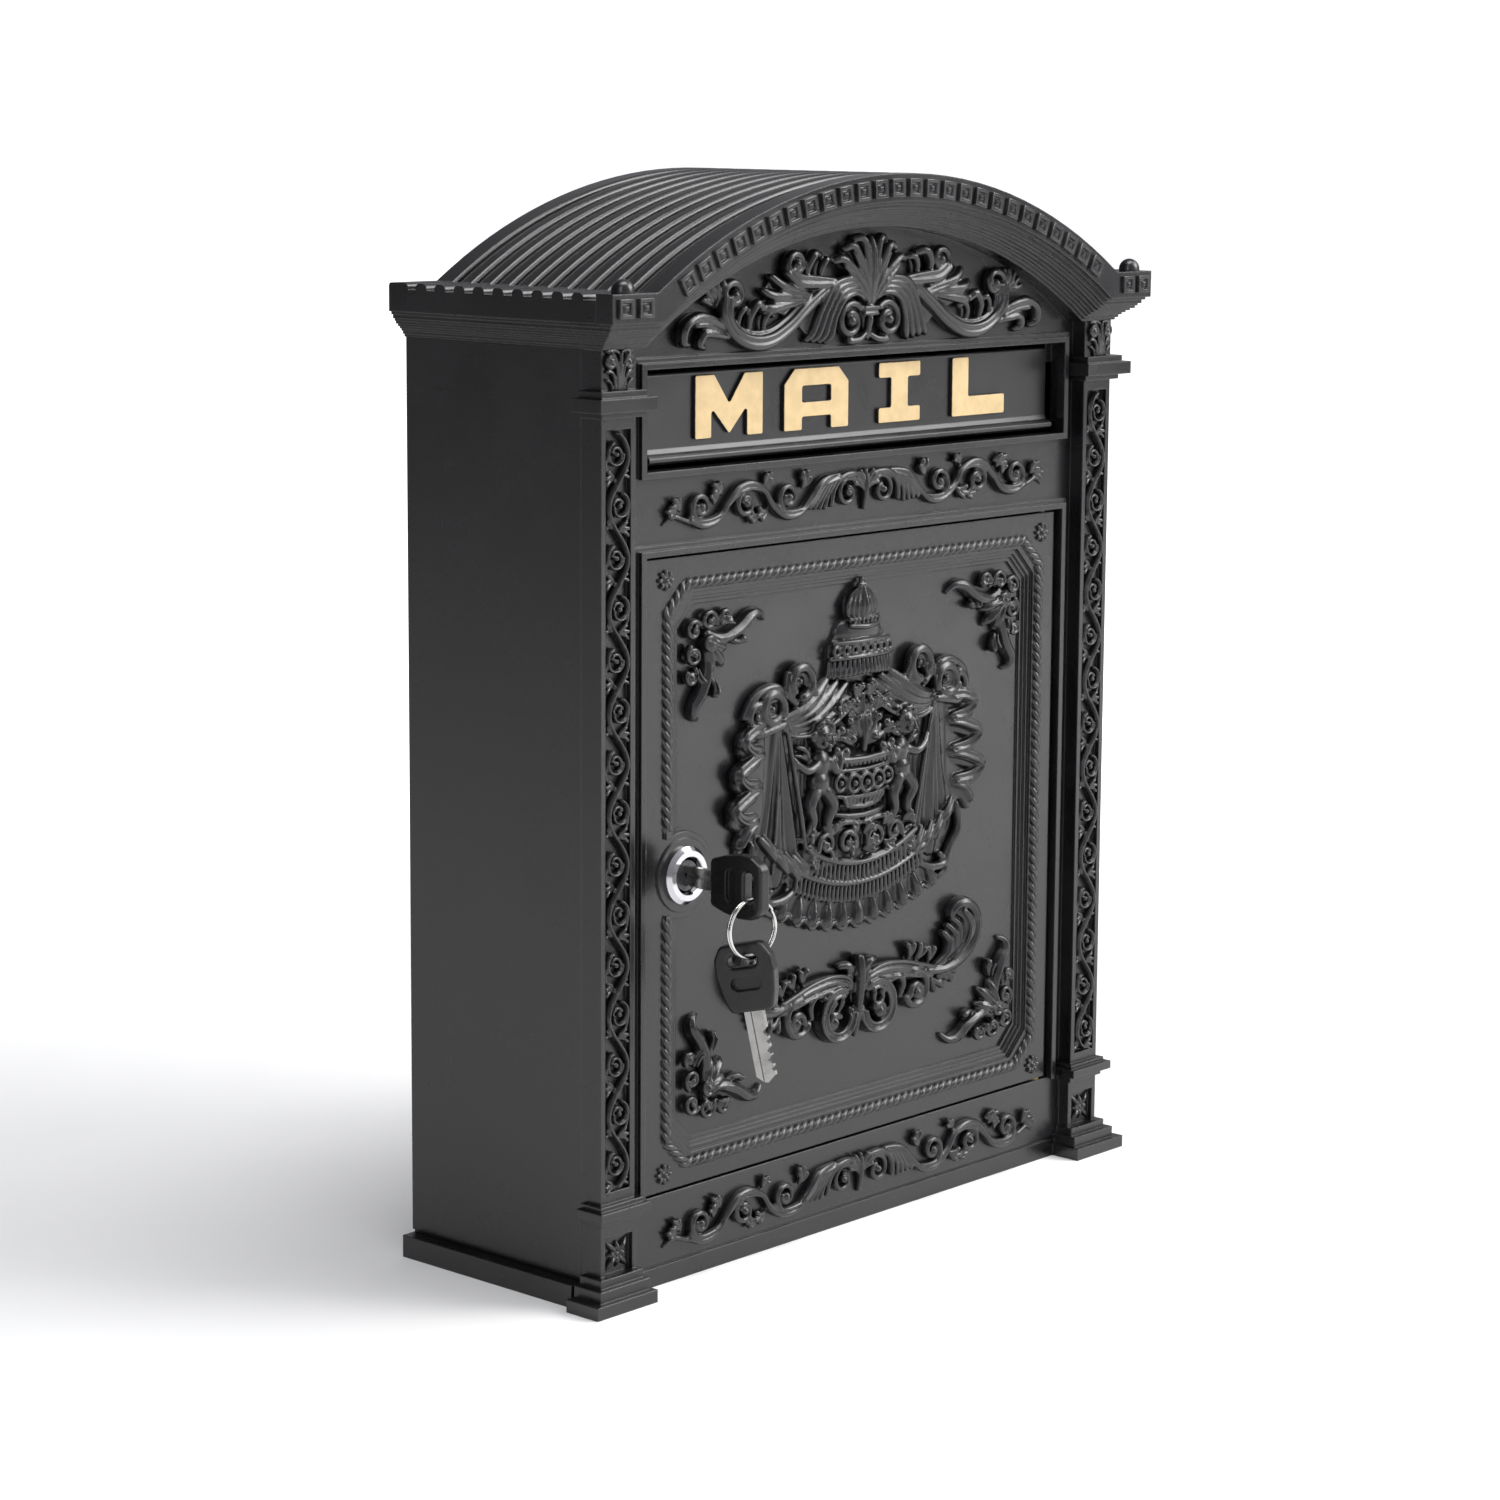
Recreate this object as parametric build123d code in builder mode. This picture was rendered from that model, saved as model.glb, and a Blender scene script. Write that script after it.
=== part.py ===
from build123d import *
import math
import os

os.makedirs("parts", exist_ok=True)

# Wall mounted mailbox in cast aluminium: an arched front casting with a
# letter flap and a locked door, two side castings, a ribbed barrel roof,
# and sheet back and bottom. Millimetres. X runs to the right as seen from
# the front, Y towards the wall, Z up. The wall is the plane y = 0 and the
# feet of the base stand at z = 0.

# ---- driving dimensions ----
HEIGHT = 430.0             # foot to the top of the arch
SIDE_X = 155.1             # outer face of the side castings
WALL = 3.0                 # side casting wall
PLATE_Y = -99.0            # field of the front casting
PLATE_BACK = -95.0
PILASTER_Y = -105.7
FOOT_X = 165.0
FOOT_Y = -114.0
SIDE_SEAM_Y = -97.0        # where the front casting meets roof and sides

# arch and cornice
ARCH_R = 250.6
ARCH_Z = HEIGHT - ARCH_R   # height of the arch centre
CORNICE_TOP = 387.4
CORNICE_X = 163.8
CORNICE_Y = -120.1
FASCIA = 11.1              # height of the flat band under the cornice top
CORNICE_DROP = 21.1        # cornice top down to its lowest moulding
CAP_BACK_Y = -111.5        # back of the arch's front band
# (drop at the underside, front y) of each moulding below the fascia
MOULDINGS = [
    (12.3, -118.2), (13.9, -116.8), (14.9, -115.4), (16.0, -114.4),
    (17.0, -112.6), (17.9, -111.0), (18.8, -109.6), (20.0, -108.4), (CORNICE_DROP, -107.1),
]

# openings in the front casting
OPEN_X = 127.5
SLOT_Z = (319.0, 357.5)
DOOR_Z = (36.4, 286.6)
BEAD = 5.0                 # width of the raised moulding round an opening

# pilasters and pedestals
PILASTER_IN = 137.0
CARVED = ((139.5, 152.7), (45.7, 336.6))
STAR = ((138.0, 152.8), (12.9, 27.7))
PANEL_DEPTH = 2.2

# roof
RIB_PITCH = 10.5
RIB_COUNT = 9
RIB_WIDTH = 6.0
RIB_HEIGHT = 2.6
FIRST_GROOVE_Y = -107.3
ROOF_WALL = 3.2

# door
DOOR_X = 126.0
DOOR_SPAN = (37.6, 285.4)
DOOR_FACE = -100.5
DOOR_BACK = -93.5
RECESS_X = 110.8
RECESS_SPAN = (50.2, 271.3)
RECESS_CUT = 11.0          # canted corner
COVE_STEPS = [(0.0, 1.3), (2.0, 2.2), (3.4, 3.0), (5.2, 4.0)]
ROPE_X = 114.3
ROPE_SPAN = (46.6, 274.9)
HINGE = (121.0, -96.5)
PIN_R = 1.5
RUNNING = 0.05

# flap
FLAP_X = 123.0
FLAP_SPAN = (321.0, 355.4)
FLAP_FACE = -95.5
FLAP_BACK = -92.7
FLAP_AXIS = (-92.2, 353.2)
LETTER_W = 38.4
LETTER_Z = (329.2, 353.6)
LETTER_T = 1.5
LETTER_PITCH = 50.8

# lock and keys
LOCK = (-105.0, 161.7)
RIM_R = 11.4
RIM_Y = -104.2
BARREL_R = 9.3
BARREL_BACK = -86.5
PLUG_R = 6.0
CAM_REACH = 28.0
KEY_SHOULDER_Y = -117.0
BLADE_L = 28.0
BLADE_W = 7.9
BLADE_T = 2.2
BOW_L = 26.5
BOW_T = 5.4
RING_SLOT_S = 19.8         # ring slot, measured from the bow's shoulder
RING_R = 11.25             # centre line of the split ring's wire
RING_YAW = -8.0
RING_TOP_Z = 157.2
HANG_DROP = 1.85           # wire centre below the slot edge that rests on it
SPARE_YAW = 17.5
SPARE_TILT = 12.5
SPARE_OFFSET = 3.3         # wire from the blade's centre line, across the slot


def block(x, y, z, mode=Mode.ADD):
    """Add or cut a box given as three (low, high) pairs."""
    with Locations(((x[0] + x[1]) / 2, (y[0] + y[1]) / 2, (z[0] + z[1]) / 2)):
        Box(x[1] - x[0], y[1] - y[0], z[1] - z[0], mode=mode)


def pair(x, y, z, mode=Mode.ADD):
    """The same box on the right and, mirrored, on the left."""
    block(x, y, z, mode)
    block((-x[1], -x[0]), y, z, mode)


def rod_y(x, z, y, radius, mode=Mode.ADD):
    """A cylinder along Y between two y values."""
    with Locations(Location((x, (y[0] + y[1]) / 2, z), (90, 0, 0))):
        Cylinder(radius, y[1] - y[0], mode=mode)


def rod_z(x, y, z, radius, mode=Mode.ADD):
    """A cylinder along Z between two z values."""
    with Locations((x, y, (z[0] + z[1]) / 2)):
        Cylinder(radius, z[1] - z[0], mode=mode)


def rod_x(y, z, x, radius, mode=Mode.ADD):
    """A cylinder along X between two x values."""
    with Locations(Location(((x[0] + x[1]) / 2, y, z), (0, 90, 0))):
        Cylinder(radius, x[1] - x[0], mode=mode)


def front(y):
    """Plane parallel to the front at y; its normal points to the viewer."""
    return Plane.XZ.offset(-y)


def band(y, top, bottom, reach):
    """Face between two lines that follow cornice and arch at these drops below the top."""
    def line(drop):
        z = CORNICE_TOP - drop
        radius = ARCH_R - drop
        x = math.sqrt(radius ** 2 - (z - ARCH_Z) ** 2)
        return z, radius, x
    top_z, top_r, top_x = line(top)
    low_z, low_r, low_x = line(bottom)
    with BuildSketch(front(y)) as face:
        with BuildLine():
            Line((-reach, low_z), (-low_x, low_z))
            ThreePointArc((-low_x, low_z), (0, ARCH_Z + low_r), (low_x, low_z))
            Line((low_x, low_z), (reach, low_z))
            Line((reach, low_z), (reach, top_z))
            Line((reach, top_z), (top_x, top_z))
            ThreePointArc((top_x, top_z), (0, ARCH_Z + top_r), (-top_x, top_z))
            Line((-top_x, top_z), (-reach, top_z))
            Line((-reach, top_z), (-reach, low_z))
        make_face()
    return face.sketch


def side_reach(y):
    """How far a moulding that stands at this front y stands out at the sides."""
    return SIDE_X + (PILASTER_Y - y) * (CORNICE_X - SIDE_X) / (PILASTER_Y - CORNICE_Y)


def canted(y, half, span, cut):
    """Rectangle with canted corners."""
    low, high = span
    points = [
        (-half + cut, low), (half - cut, low), (half, low + cut), (half, high - cut),
        (half - cut, high), (-half + cut, high), (-half, high - cut), (-half, low + cut),
    ]
    with BuildSketch(front(y)) as face:
        with BuildLine():
            Polyline(*points, close=True)
        make_face()
    return face.sketch


def save(piece, name):
    """Label the finished piece and write it to its own STEP file."""
    piece.part.label = name
    export_step(piece.part, f"parts/{name}.step")


SCREW_R = 1.6
HEAD_R = 3.0
SIDE_SCREW_Z = (52.0, 182.0, 325.0)
SCREW_X = 146.5
ROOF_SCREW_Y = (-80.0, -48.0, -16.0)
BOTTOM_SCREW_Y = (-78.0, -20.0)
BACK_SCREW_Z = (40.0, 190.0, 340.0)
FLANGE_X = (141.0, SIDE_X - WALL)

# ---- front casting ----
with BuildPart() as front_frame:
    # flat plate up to the arch
    block((-SIDE_X, SIDE_X), (PLATE_Y, PLATE_BACK), (1.0, CORNICE_TOP - CORNICE_DROP))
    tympanum_r = ARCH_R - CORNICE_DROP + 1.0
    tympanum_x = math.sqrt(tympanum_r ** 2 - (CORNICE_TOP - CORNICE_DROP - 1.0 - ARCH_Z) ** 2)
    with BuildSketch(front(PLATE_BACK)):
        with BuildLine():
            foot_z = CORNICE_TOP - CORNICE_DROP - 1.0
            Line((-tympanum_x, foot_z), (tympanum_x, foot_z))
            ThreePointArc((tympanum_x, foot_z), (0, ARCH_Z + tympanum_r), (-tympanum_x, foot_z))
        make_face()
    extrude(amount=PLATE_BACK - PLATE_Y)
    # cornice mouldings, each a level that follows the returns and the arch
    top = FASCIA
    for bottom, y in MOULDINGS:
        extrude(band(PLATE_BACK, top, bottom, side_reach(y)), amount=PLATE_BACK - y)
        top = bottom
    extrude(band(CAP_BACK_Y, 0.0, FASCIA, CORNICE_X), amount=CAP_BACK_Y - CORNICE_Y)
    extrude(band(PLATE_BACK, 13.2, 19.0, 134.0), amount=10.0, mode=Mode.SUBTRACT)
    # the returns stop at the seam with the side castings
    pair((SIDE_X - WALL, 175.0), (SIDE_SEAM_Y, -90.0), (300.0, 380.0), Mode.SUBTRACT)
    # pilasters
    pair((PILASTER_IN, SIDE_X), (PILASTER_Y, PLATE_BACK), (9.0, CORNICE_TOP - CORNICE_DROP))
    # band under the capital
    pair((134.6, 157.6), (-108.4, SIDE_SEAM_Y), (341.0, 343.3))
    pair((131.6, 161.6), (-112.0, SIDE_SEAM_Y), (343.3, 348.6))
    pair((134.6, 158.6), (-109.4, SIDE_SEAM_Y), (348.6, 351.2))
    # pedestal: cap, die and stepped foot
    pair((134.4, 157.4), (-108.2, SIDE_SEAM_Y), (39.6, 41.4))
    pair((133.0, 159.6), (-110.6, SIDE_SEAM_Y), (36.2, 39.6))
    pair((134.8, 156.6), (-107.4, SIDE_SEAM_Y), (33.6, 36.2))
    pair((135.8, SIDE_X), (PILASTER_Y, PLATE_BACK), (9.0, 33.6))
    pair((134.9, 157.9), (-108.6, SIDE_SEAM_Y), (9.6, 13.0))
    pair((133.8, 160.8), (-111.3, SIDE_SEAM_Y), (5.1, 9.6))
    pair((132.5, FOOT_X), (FOOT_Y, SIDE_SEAM_Y), (0.0, 5.1))
    # rail between the pedestals, with a drip groove above its skirting
    block((-135.8, 135.8), (-100.4, PLATE_BACK), (9.2, 36.4))
    block((-135.8, 135.8), (-100.0, PLATE_BACK), (0.0, 7.6))
    # openings
    for low, high in (SLOT_Z, DOOR_Z):
        block((-OPEN_X, OPEN_X), (-110.0, -90.0), (low, high), Mode.SUBTRACT)
    # raised mouldings round the openings
    for low, high, y, width in (
        (SLOT_Z[0], SLOT_Z[1], -100.8, BEAD), (SLOT_Z[0], SLOT_Z[1], -102.6, BEAD - 2.2),
        (DOOR_Z[0], DOOR_Z[1], -100.8, BEAD), (DOOR_Z[0], DOOR_Z[1], -102.6, BEAD - 2.2),
    ):
        lower = 0.6 if low == DOOR_Z[0] else min(width, 2.6)
        upper = width * 0.85
        pair((OPEN_X, OPEN_X + width), (y, PLATE_Y), (low - lower, high + upper))
        block((-OPEN_X, OPEN_X), (y, PLATE_Y), (high, high + upper))
        if low == SLOT_Z[0]:
            block((-OPEN_X, OPEN_X), (y, PLATE_Y), (low - lower, low))
    # sunk panels of the pilasters and pedestals
    for (x0, x1), (z0, z1) in (CARVED, STAR):
        pair((x0, x1), (-112.0, PILASTER_Y + PANEL_DEPTH), (z0, z1), Mode.SUBTRACT)
    # weight pockets behind the pilasters
    pair((140.5, 151.5), (-102.0, -94.0), (62.0, 170.0), Mode.SUBTRACT)
    pair((140.5, 151.5), (-102.0, -94.0), (194.0, 312.0), Mode.SUBTRACT)
    # stop strips behind the door, the left one also the lock's keeper
    block((-131.5, -123.5), (-93.2, -87.5), (44.0, 279.0))
    block((-131.5, -OPEN_X), (PLATE_BACK, -93.2), (44.0, 279.0))
    for low, high in ((33.0, 40.0), (283.0, 290.0)):
        block((-118.0, 108.0), (-93.2, -90.5), (low, high))
    block((-118.0, 108.0), (PLATE_BACK, -93.2), (33.0, DOOR_Z[0]))
    block((-118.0, 108.0), (PLATE_BACK, -93.2), (DOOR_Z[1], 290.0))
    # lugs for the hinge pins and for the flap's rod
    block((115.5, 126.5), (PLATE_BACK, -91.5), (24.0, DOOR_Z[0]))
    block((115.5, 126.5), (PLATE_BACK, -91.5), (DOOR_Z[1], 299.0))
    pair((FLAP_X + 0.6, 131.0), (PLATE_BACK, -88.8), (349.0, SLOT_Z[1] + 2.0))
    # bores
    rod_z(*HINGE, (27.0, DOOR_Z[0]), PIN_R, Mode.SUBTRACT)
    rod_z(*HINGE, (DOOR_Z[1], 297.0), PIN_R, Mode.SUBTRACT)
    rod_x(*FLAP_AXIS, (-129.0, 129.0), PIN_R, Mode.SUBTRACT)
    for x in (-SCREW_X, SCREW_X):
        for z in SIDE_SCREW_Z:
            rod_y(x, z, (-101.0, -94.0), SCREW_R, Mode.SUBTRACT)
        rod_z(x * 154.0 / SCREW_X, -115.6, (CORNICE_TOP - 5.0, CORNICE_TOP + 1.0), 2.0, Mode.SUBTRACT)
save(front_frame, "front_frame")

# ---- side castings ----
for name, sign in (("side_panel_left", -1), ("side_panel_right", 1)):
    with BuildPart() as side_panel:
        def wall_block(x, y, z, mode=Mode.ADD):
            block(tuple(sorted((sign * x[0], sign * x[1]))), y, z, mode)
        high = CORNICE_TOP - CORNICE_DROP
        wall_block((SIDE_X - WALL, SIDE_X), (PLATE_BACK, 0.0), (7.0, high))
        # skirting that carries the foot's line back to the wall
        wall_block((SIDE_X - WALL, 160.4), (PLATE_BACK, 0.0), (6.6, 9.0))
        wall_block((157.4, 160.4), (PLATE_BACK, 0.0), (0.0, 6.6))
        wall_block((SIDE_X - 1.2, 176.0), (-100.0, 1.0), (9.0, 10.4), Mode.SUBTRACT)
        # flanges: front, back, top, and a ledge for the bottom
        wall_block(FLANGE_X, (PLATE_BACK, -92.0), (30.0, 360.0))
        wall_block(FLANGE_X, (-5.0, -2.0), (14.0, 360.0))
        wall_block(FLANGE_X, (-91.0, -6.0), (high - 3.0, high))
        wall_block(FLANGE_X, (-91.0, -6.0), (7.0, 10.0))
        for z in SIDE_SCREW_Z:
            rod_y(sign * SCREW_X, z, (-96.0, -91.0), SCREW_R, Mode.SUBTRACT)
        for z in BACK_SCREW_Z:
            rod_y(sign * SCREW_X, z, (-6.0, -1.0), SCREW_R, Mode.SUBTRACT)
        for y in ROOF_SCREW_Y:
            rod_z(sign * SCREW_X, y, (high - 4.0, high + 1.0), SCREW_R, Mode.SUBTRACT)
        for y in BOTTOM_SCREW_Y:
            rod_z(sign * SCREW_X, y, (6.0, 11.0), SCREW_R, Mode.SUBTRACT)
    save(side_panel, name)

# ---- roof ----
HOLLOW_R = 1.0             # where the barrel turns into the level shelf
hollow_up = CORNICE_TOP + HOLLOW_R - ARCH_Z
hollow_x = math.sqrt((ARCH_R + HOLLOW_R) ** 2 - hollow_up ** 2)
with BuildPart() as roof:
    # rib section as (y, height over the groove) turned round the arch axis
    def rib_section(plane, top):
        with BuildSketch(plane) as section:
            with Locations((CAP_BACK_Y / 2, top - RIB_HEIGHT - ROOF_WALL / 2)):
                Rectangle(-CAP_BACK_Y, ROOF_WALL)
            with BuildSketch(mode=Mode.PRIVATE) as rib:
                Rectangle(RIB_WIDTH, RIB_HEIGHT + 1.0)
                fillet(rib.vertices().group_by(Axis.Y)[-1], 1.9)
            for k in range(RIB_COUNT):
                rib_y = FIRST_GROOVE_Y + RIB_PITCH * (k + 0.5)
                with Locations((rib_y, top - (RIB_HEIGHT + 1.0) / 2)):
                    add(rib.sketch)
            last = FIRST_GROOVE_Y + RIB_PITCH * RIB_COUNT + RIB_PITCH / 2 - RIB_WIDTH / 2
            with BuildSketch(mode=Mode.PRIVATE) as rear:
                Rectangle(-last, RIB_HEIGHT + 1.0)
                fillet(rear.vertices().group_by(Axis.Y)[-1], 1.4)
            with Locations((last / 2, top - (RIB_HEIGHT + 1.0) / 2)):
                add(rear.sketch)
        return section.sketch
    # the barrel, a small hollow on each side where it turns level, and the two shelves
    spring = math.acos(hollow_up / (ARCH_R + HOLLOW_R))
    end_plane = Plane((0, 0, ARCH_Z), (0, 1, 0), (math.cos(spring), 0, math.sin(spring)))
    swept = rib_section(end_plane, ARCH_R)
    revolve(swept, axis=Axis((0, 0, ARCH_Z), (0, 1, 0)), revolution_arc=2 * math.degrees(spring))
    shelf = rib_section(Plane.YZ.offset(hollow_x), CORNICE_TOP)
    level = extrude(shelf, amount=CORNICE_X - hollow_x, mode=Mode.PRIVATE)
    hollow_axis = Axis((hollow_x, 0, CORNICE_TOP + HOLLOW_R), (0, 1, 0))
    hollow = revolve(shelf, axis=hollow_axis, revolution_arc=math.degrees(spring), mode=Mode.PRIVATE)
    add([level, hollow])
    add([mirror(level, about=Plane.YZ, mode=Mode.PRIVATE), mirror(hollow, about=Plane.YZ, mode=Mode.PRIVATE)])
    # side cornices
    inner = SIDE_X - WALL - 3.0
    pair((inner, CORNICE_X), (CAP_BACK_Y, 0.0), (CORNICE_TOP - FASCIA, CORNICE_TOP - 4.0))
    top = FASCIA
    for bottom, y in MOULDINGS:
        pair((inner, side_reach(y)), (SIDE_SEAM_Y, 0.0), (CORNICE_TOP - bottom, CORNICE_TOP - top))
        top = bottom
    # ledge that the side castings screw into
    pair((140.0, inner), (-91.0, -6.0), (CORNICE_TOP - CORNICE_DROP, CORNICE_TOP - CORNICE_DROP + 6.0))
    # the back sheet and the front casting's plate stand inside the roof
    block((-inner, inner), (-2.0, 1.0), (360.0, CORNICE_TOP - 6.2), Mode.SUBTRACT)
    pair((inner - 2.0, SIDE_X), (-101.0, PLATE_BACK), (360.0, CORNICE_TOP - FASCIA), Mode.SUBTRACT)
    for x in (-SCREW_X, SCREW_X):
        for y in ROOF_SCREW_Y:
            rod_z(x, y, (366.0, 371.5), SCREW_R, Mode.SUBTRACT)
save(roof, "roof")

# ---- back and bottom sheets ----
HOLE_X = 100.0
HOLE_Z = (70.0, 330.0)
HOLE_R = 3.25
with BuildPart() as back_panel:
    back_x = SIDE_X - WALL - 3.1
    block((-back_x, back_x), (-2.0, 0.0), (0.0, 380.5))
    back_r = ARCH_R - RIB_HEIGHT - ROOF_WALL - 0.4
    back_half = math.sqrt(back_r ** 2 - (380.0 - ARCH_Z) ** 2)
    with BuildSketch(front(0.0)):
        with BuildLine():
            Line((-back_half, 380.0), (back_half, 380.0))
            ThreePointArc((back_half, 380.0), (0, ARCH_Z + back_r), (-back_half, 380.0))
        make_face()
    extrude(amount=2.0)
    for x in (-HOLE_X, HOLE_X):
        for z in HOLE_Z:
            rod_y(x, z, (-3.0, 1.0), HOLE_R, Mode.SUBTRACT)
    for x in (-SCREW_X, SCREW_X):
        for z in BACK_SCREW_Z:
            with Locations(Location((x, -1.0, z), (-90, 0, 0))):
                Cone(SCREW_R, HEAD_R, 2.0, mode=Mode.SUBTRACT)
save(back_panel, "back_panel")

with BuildPart() as bottom_panel:
    block((-SIDE_X + WALL + 0.1, SIDE_X - WALL - 0.1), (-94.9, -5.1), (10.0, 12.0))
    with Locations((-110, -25, 11), (110, -25, 11), (-110, -75, 11), (110, -75, 11)):
        Cylinder(2.5, 3.0, mode=Mode.SUBTRACT)
    for x in (-SCREW_X, SCREW_X):
        for y in BOTTOM_SCREW_Y:
            rod_z(x, y, (9.0, 13.0), SCREW_R, Mode.SUBTRACT)
save(bottom_panel, "bottom_panel")

# ---- fasteners ----
with BuildPart() as side_screws:
    for x in (-SCREW_X, SCREW_X):
        for z in SIDE_SCREW_Z:
            rod_y(x, z, (-100.5, -92.0), SCREW_R)
            rod_y(x, z, (-92.0, -90.2), HEAD_R)
            block((x - 1.9, x + 1.9), (-90.9, -89.0), (z - 0.4, z + 0.4), Mode.SUBTRACT)
save(side_screws, "side_screws")

with BuildPart() as back_screws:
    for x in (-SCREW_X, SCREW_X):
        for z in BACK_SCREW_Z:
            rod_y(x, z, (-6.5, -2.0), SCREW_R)
            with Locations(Location((x, -1.0, z), (-90, 0, 0))):
                Cone(SCREW_R, HEAD_R, 2.0)
            block((x - 1.9, x + 1.9), (-0.7, 1.0), (z - 0.4, z + 0.4), Mode.SUBTRACT)
save(back_screws, "back_screws")

with BuildPart() as roof_screws:
    for x in (-SCREW_X, SCREW_X):
        for y in ROOF_SCREW_Y:
            rod_z(x, y, (363.3, 371.0), SCREW_R)
            rod_z(x, y, (361.5, 363.3), HEAD_R)
            block((x - 1.9, x + 1.9), (y - 0.4, y + 0.4), (360.0, 362.2), Mode.SUBTRACT)
save(roof_screws, "roof_screws")

with BuildPart() as bottom_screws:
    for x in (-SCREW_X, SCREW_X):
        for y in BOTTOM_SCREW_Y:
            rod_z(x, y, (7.0, 12.5), SCREW_R)
            rod_z(x, y, (5.2, 7.0), HEAD_R)
            block((x - 1.9, x + 1.9), (y - 0.4, y + 0.4), (4.0, 5.9), Mode.SUBTRACT)
save(bottom_screws, "bottom_screws")

# dome nuts on the front corners of the cornice
with BuildPart() as roof_knobs:
    for x in (-154.0, 154.0):
        rod_z(x, -115.6, (CORNICE_TOP - 5.0, CORNICE_TOP + 0.2), 2.0)
        rod_z(x, -115.6, (CORNICE_TOP, CORNICE_TOP + 0.9), 4.4)
        with Locations((x, -115.6, CORNICE_TOP + 0.9)):
            Sphere(4.4, arc_size1=0, align=(Align.CENTER, Align.CENTER, Align.MIN))
save(roof_knobs, "roof_knobs")

# ---- door ----
with BuildPart() as door:
    block((-DOOR_X, DOOR_X), (DOOR_FACE, DOOR_BACK), DOOR_SPAN)
    hinge_edge = door.edges().filter_by(Axis.Z).group_by(Axis.X)[-1].sort_by(Axis.Y)[0]
    fillet(hinge_edge, 2.0)
    # sunk field, stepped down like a cove
    for inset, depth in COVE_STEPS:
        span = (RECESS_SPAN[0] + inset, RECESS_SPAN[1] - inset)
        cut = RECESS_CUT - inset * 0.4
        outline = canted(DOOR_FACE + depth, RECESS_X - inset, span, cut)
        extrude(outline, amount=5.0, mode=Mode.SUBTRACT)
    # core of the rope moulding
    rope = canted(DOOR_FACE, ROPE_X + 1.2, (ROPE_SPAN[0] - 1.2, ROPE_SPAN[1] + 1.2), RECESS_CUT)
    extrude(rope, amount=1.2)
    hollow = canted(DOOR_FACE, ROPE_X - 1.2, (ROPE_SPAN[0] + 1.2, ROPE_SPAN[1] - 1.2), RECESS_CUT)
    extrude(hollow, amount=5.0, mode=Mode.SUBTRACT)
    # boss round the lock, which also breaks the rope
    block((-120.0, -104.0), (-104.0, DOOR_FACE), (147.0, 177.0), Mode.SUBTRACT)
    rod_y(*LOCK, (DOOR_FACE, -96.0), 17.0)
    rod_y(*LOCK, (DOOR_FACE - 0.8, DOOR_FACE), 14.6)
    rod_y(*LOCK, (-105.0, -90.0), BARREL_R, Mode.SUBTRACT)
    rod_z(*HINGE, (DOOR_SPAN[0] - 1.0, DOOR_SPAN[0] + 12.0), PIN_R + RUNNING, Mode.SUBTRACT)
    rod_z(*HINGE, (DOOR_SPAN[1] - 12.0, DOOR_SPAN[1] + 1.0), PIN_R + RUNNING, Mode.SUBTRACT)
save(door, "door")

with BuildPart() as hinge_pin_lower:
    rod_z(*HINGE, (27.0, DOOR_SPAN[0] + 11.0), PIN_R)
    chamfer(hinge_pin_lower.edges().filter_by(GeomType.CIRCLE), 0.3)
save(hinge_pin_lower, "hinge_pin_lower")

with BuildPart() as hinge_pin_upper:
    rod_z(*HINGE, (DOOR_SPAN[1] - 11.0, 297.0), PIN_R)
    chamfer(hinge_pin_upper.edges().filter_by(GeomType.CIRCLE), 0.3)
save(hinge_pin_upper, "hinge_pin_upper")

# thrust washer that carries the door
with BuildPart() as hinge_washer:
    rod_z(*HINGE, (DOOR_Z[0], DOOR_SPAN[0] - 0.1), 3.2)
    rod_z(*HINGE, (DOOR_Z[0] - 1.0, DOOR_SPAN[0]), PIN_R + RUNNING, Mode.SUBTRACT)
save(hinge_washer, "hinge_washer")

# ---- letter flap ----
KNUCKLES = ((-112.0, -92.0), (-10.0, 10.0), (92.0, 112.0))
with BuildPart() as slot_flap:
    low, high = FLAP_SPAN
    with BuildSketch(Plane.YZ.offset(-FLAP_X)) as flap_section:
        with BuildLine():
            Polyline(
                (FLAP_BACK, low), (-98.0, low), (-99.4, low + 1.0), (-99.4, low + 2.4),
                (-98.4, low + 3.4), (-96.4, low + 3.8), (FLAP_FACE, low + 5.6),
                (FLAP_FACE, high), (FLAP_BACK, high), close=True,
            )
        make_face()
        fillet(flap_section.vertices().group_by(Axis.X)[0], 0.65)
    extrude(amount=2 * FLAP_X)
    fillet(slot_flap.edges().filter_by(Axis.X).group_by(Axis.Z)[-1].sort_by(Axis.Y)[0], 1.4)
    for x in KNUCKLES:
        rod_x(*FLAP_AXIS, x, 2.8)
    gaps = (-FLAP_X - 1.0, *[x for knuckle in KNUCKLES for x in knuckle], FLAP_X + 1.0)
    for k in range(0, len(gaps), 2):
        rod_x(*FLAP_AXIS, (gaps[k], gaps[k + 1]), 2.0, Mode.SUBTRACT)
        block((gaps[k], gaps[k + 1]), (FLAP_AXIS[0] - 1.2, -89.0), (350.6, 358.0), Mode.SUBTRACT)
    rod_x(*FLAP_AXIS, (-FLAP_X, FLAP_X), PIN_R + RUNNING, Mode.SUBTRACT)
save(slot_flap, "slot_flap")

with BuildPart() as flap_rod:
    rod_x(*FLAP_AXIS, (-129.0, 129.0), PIN_R)
    chamfer(flap_rod.edges().filter_by(GeomType.CIRCLE), 0.3)
save(flap_rod, "flap_rod")

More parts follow.
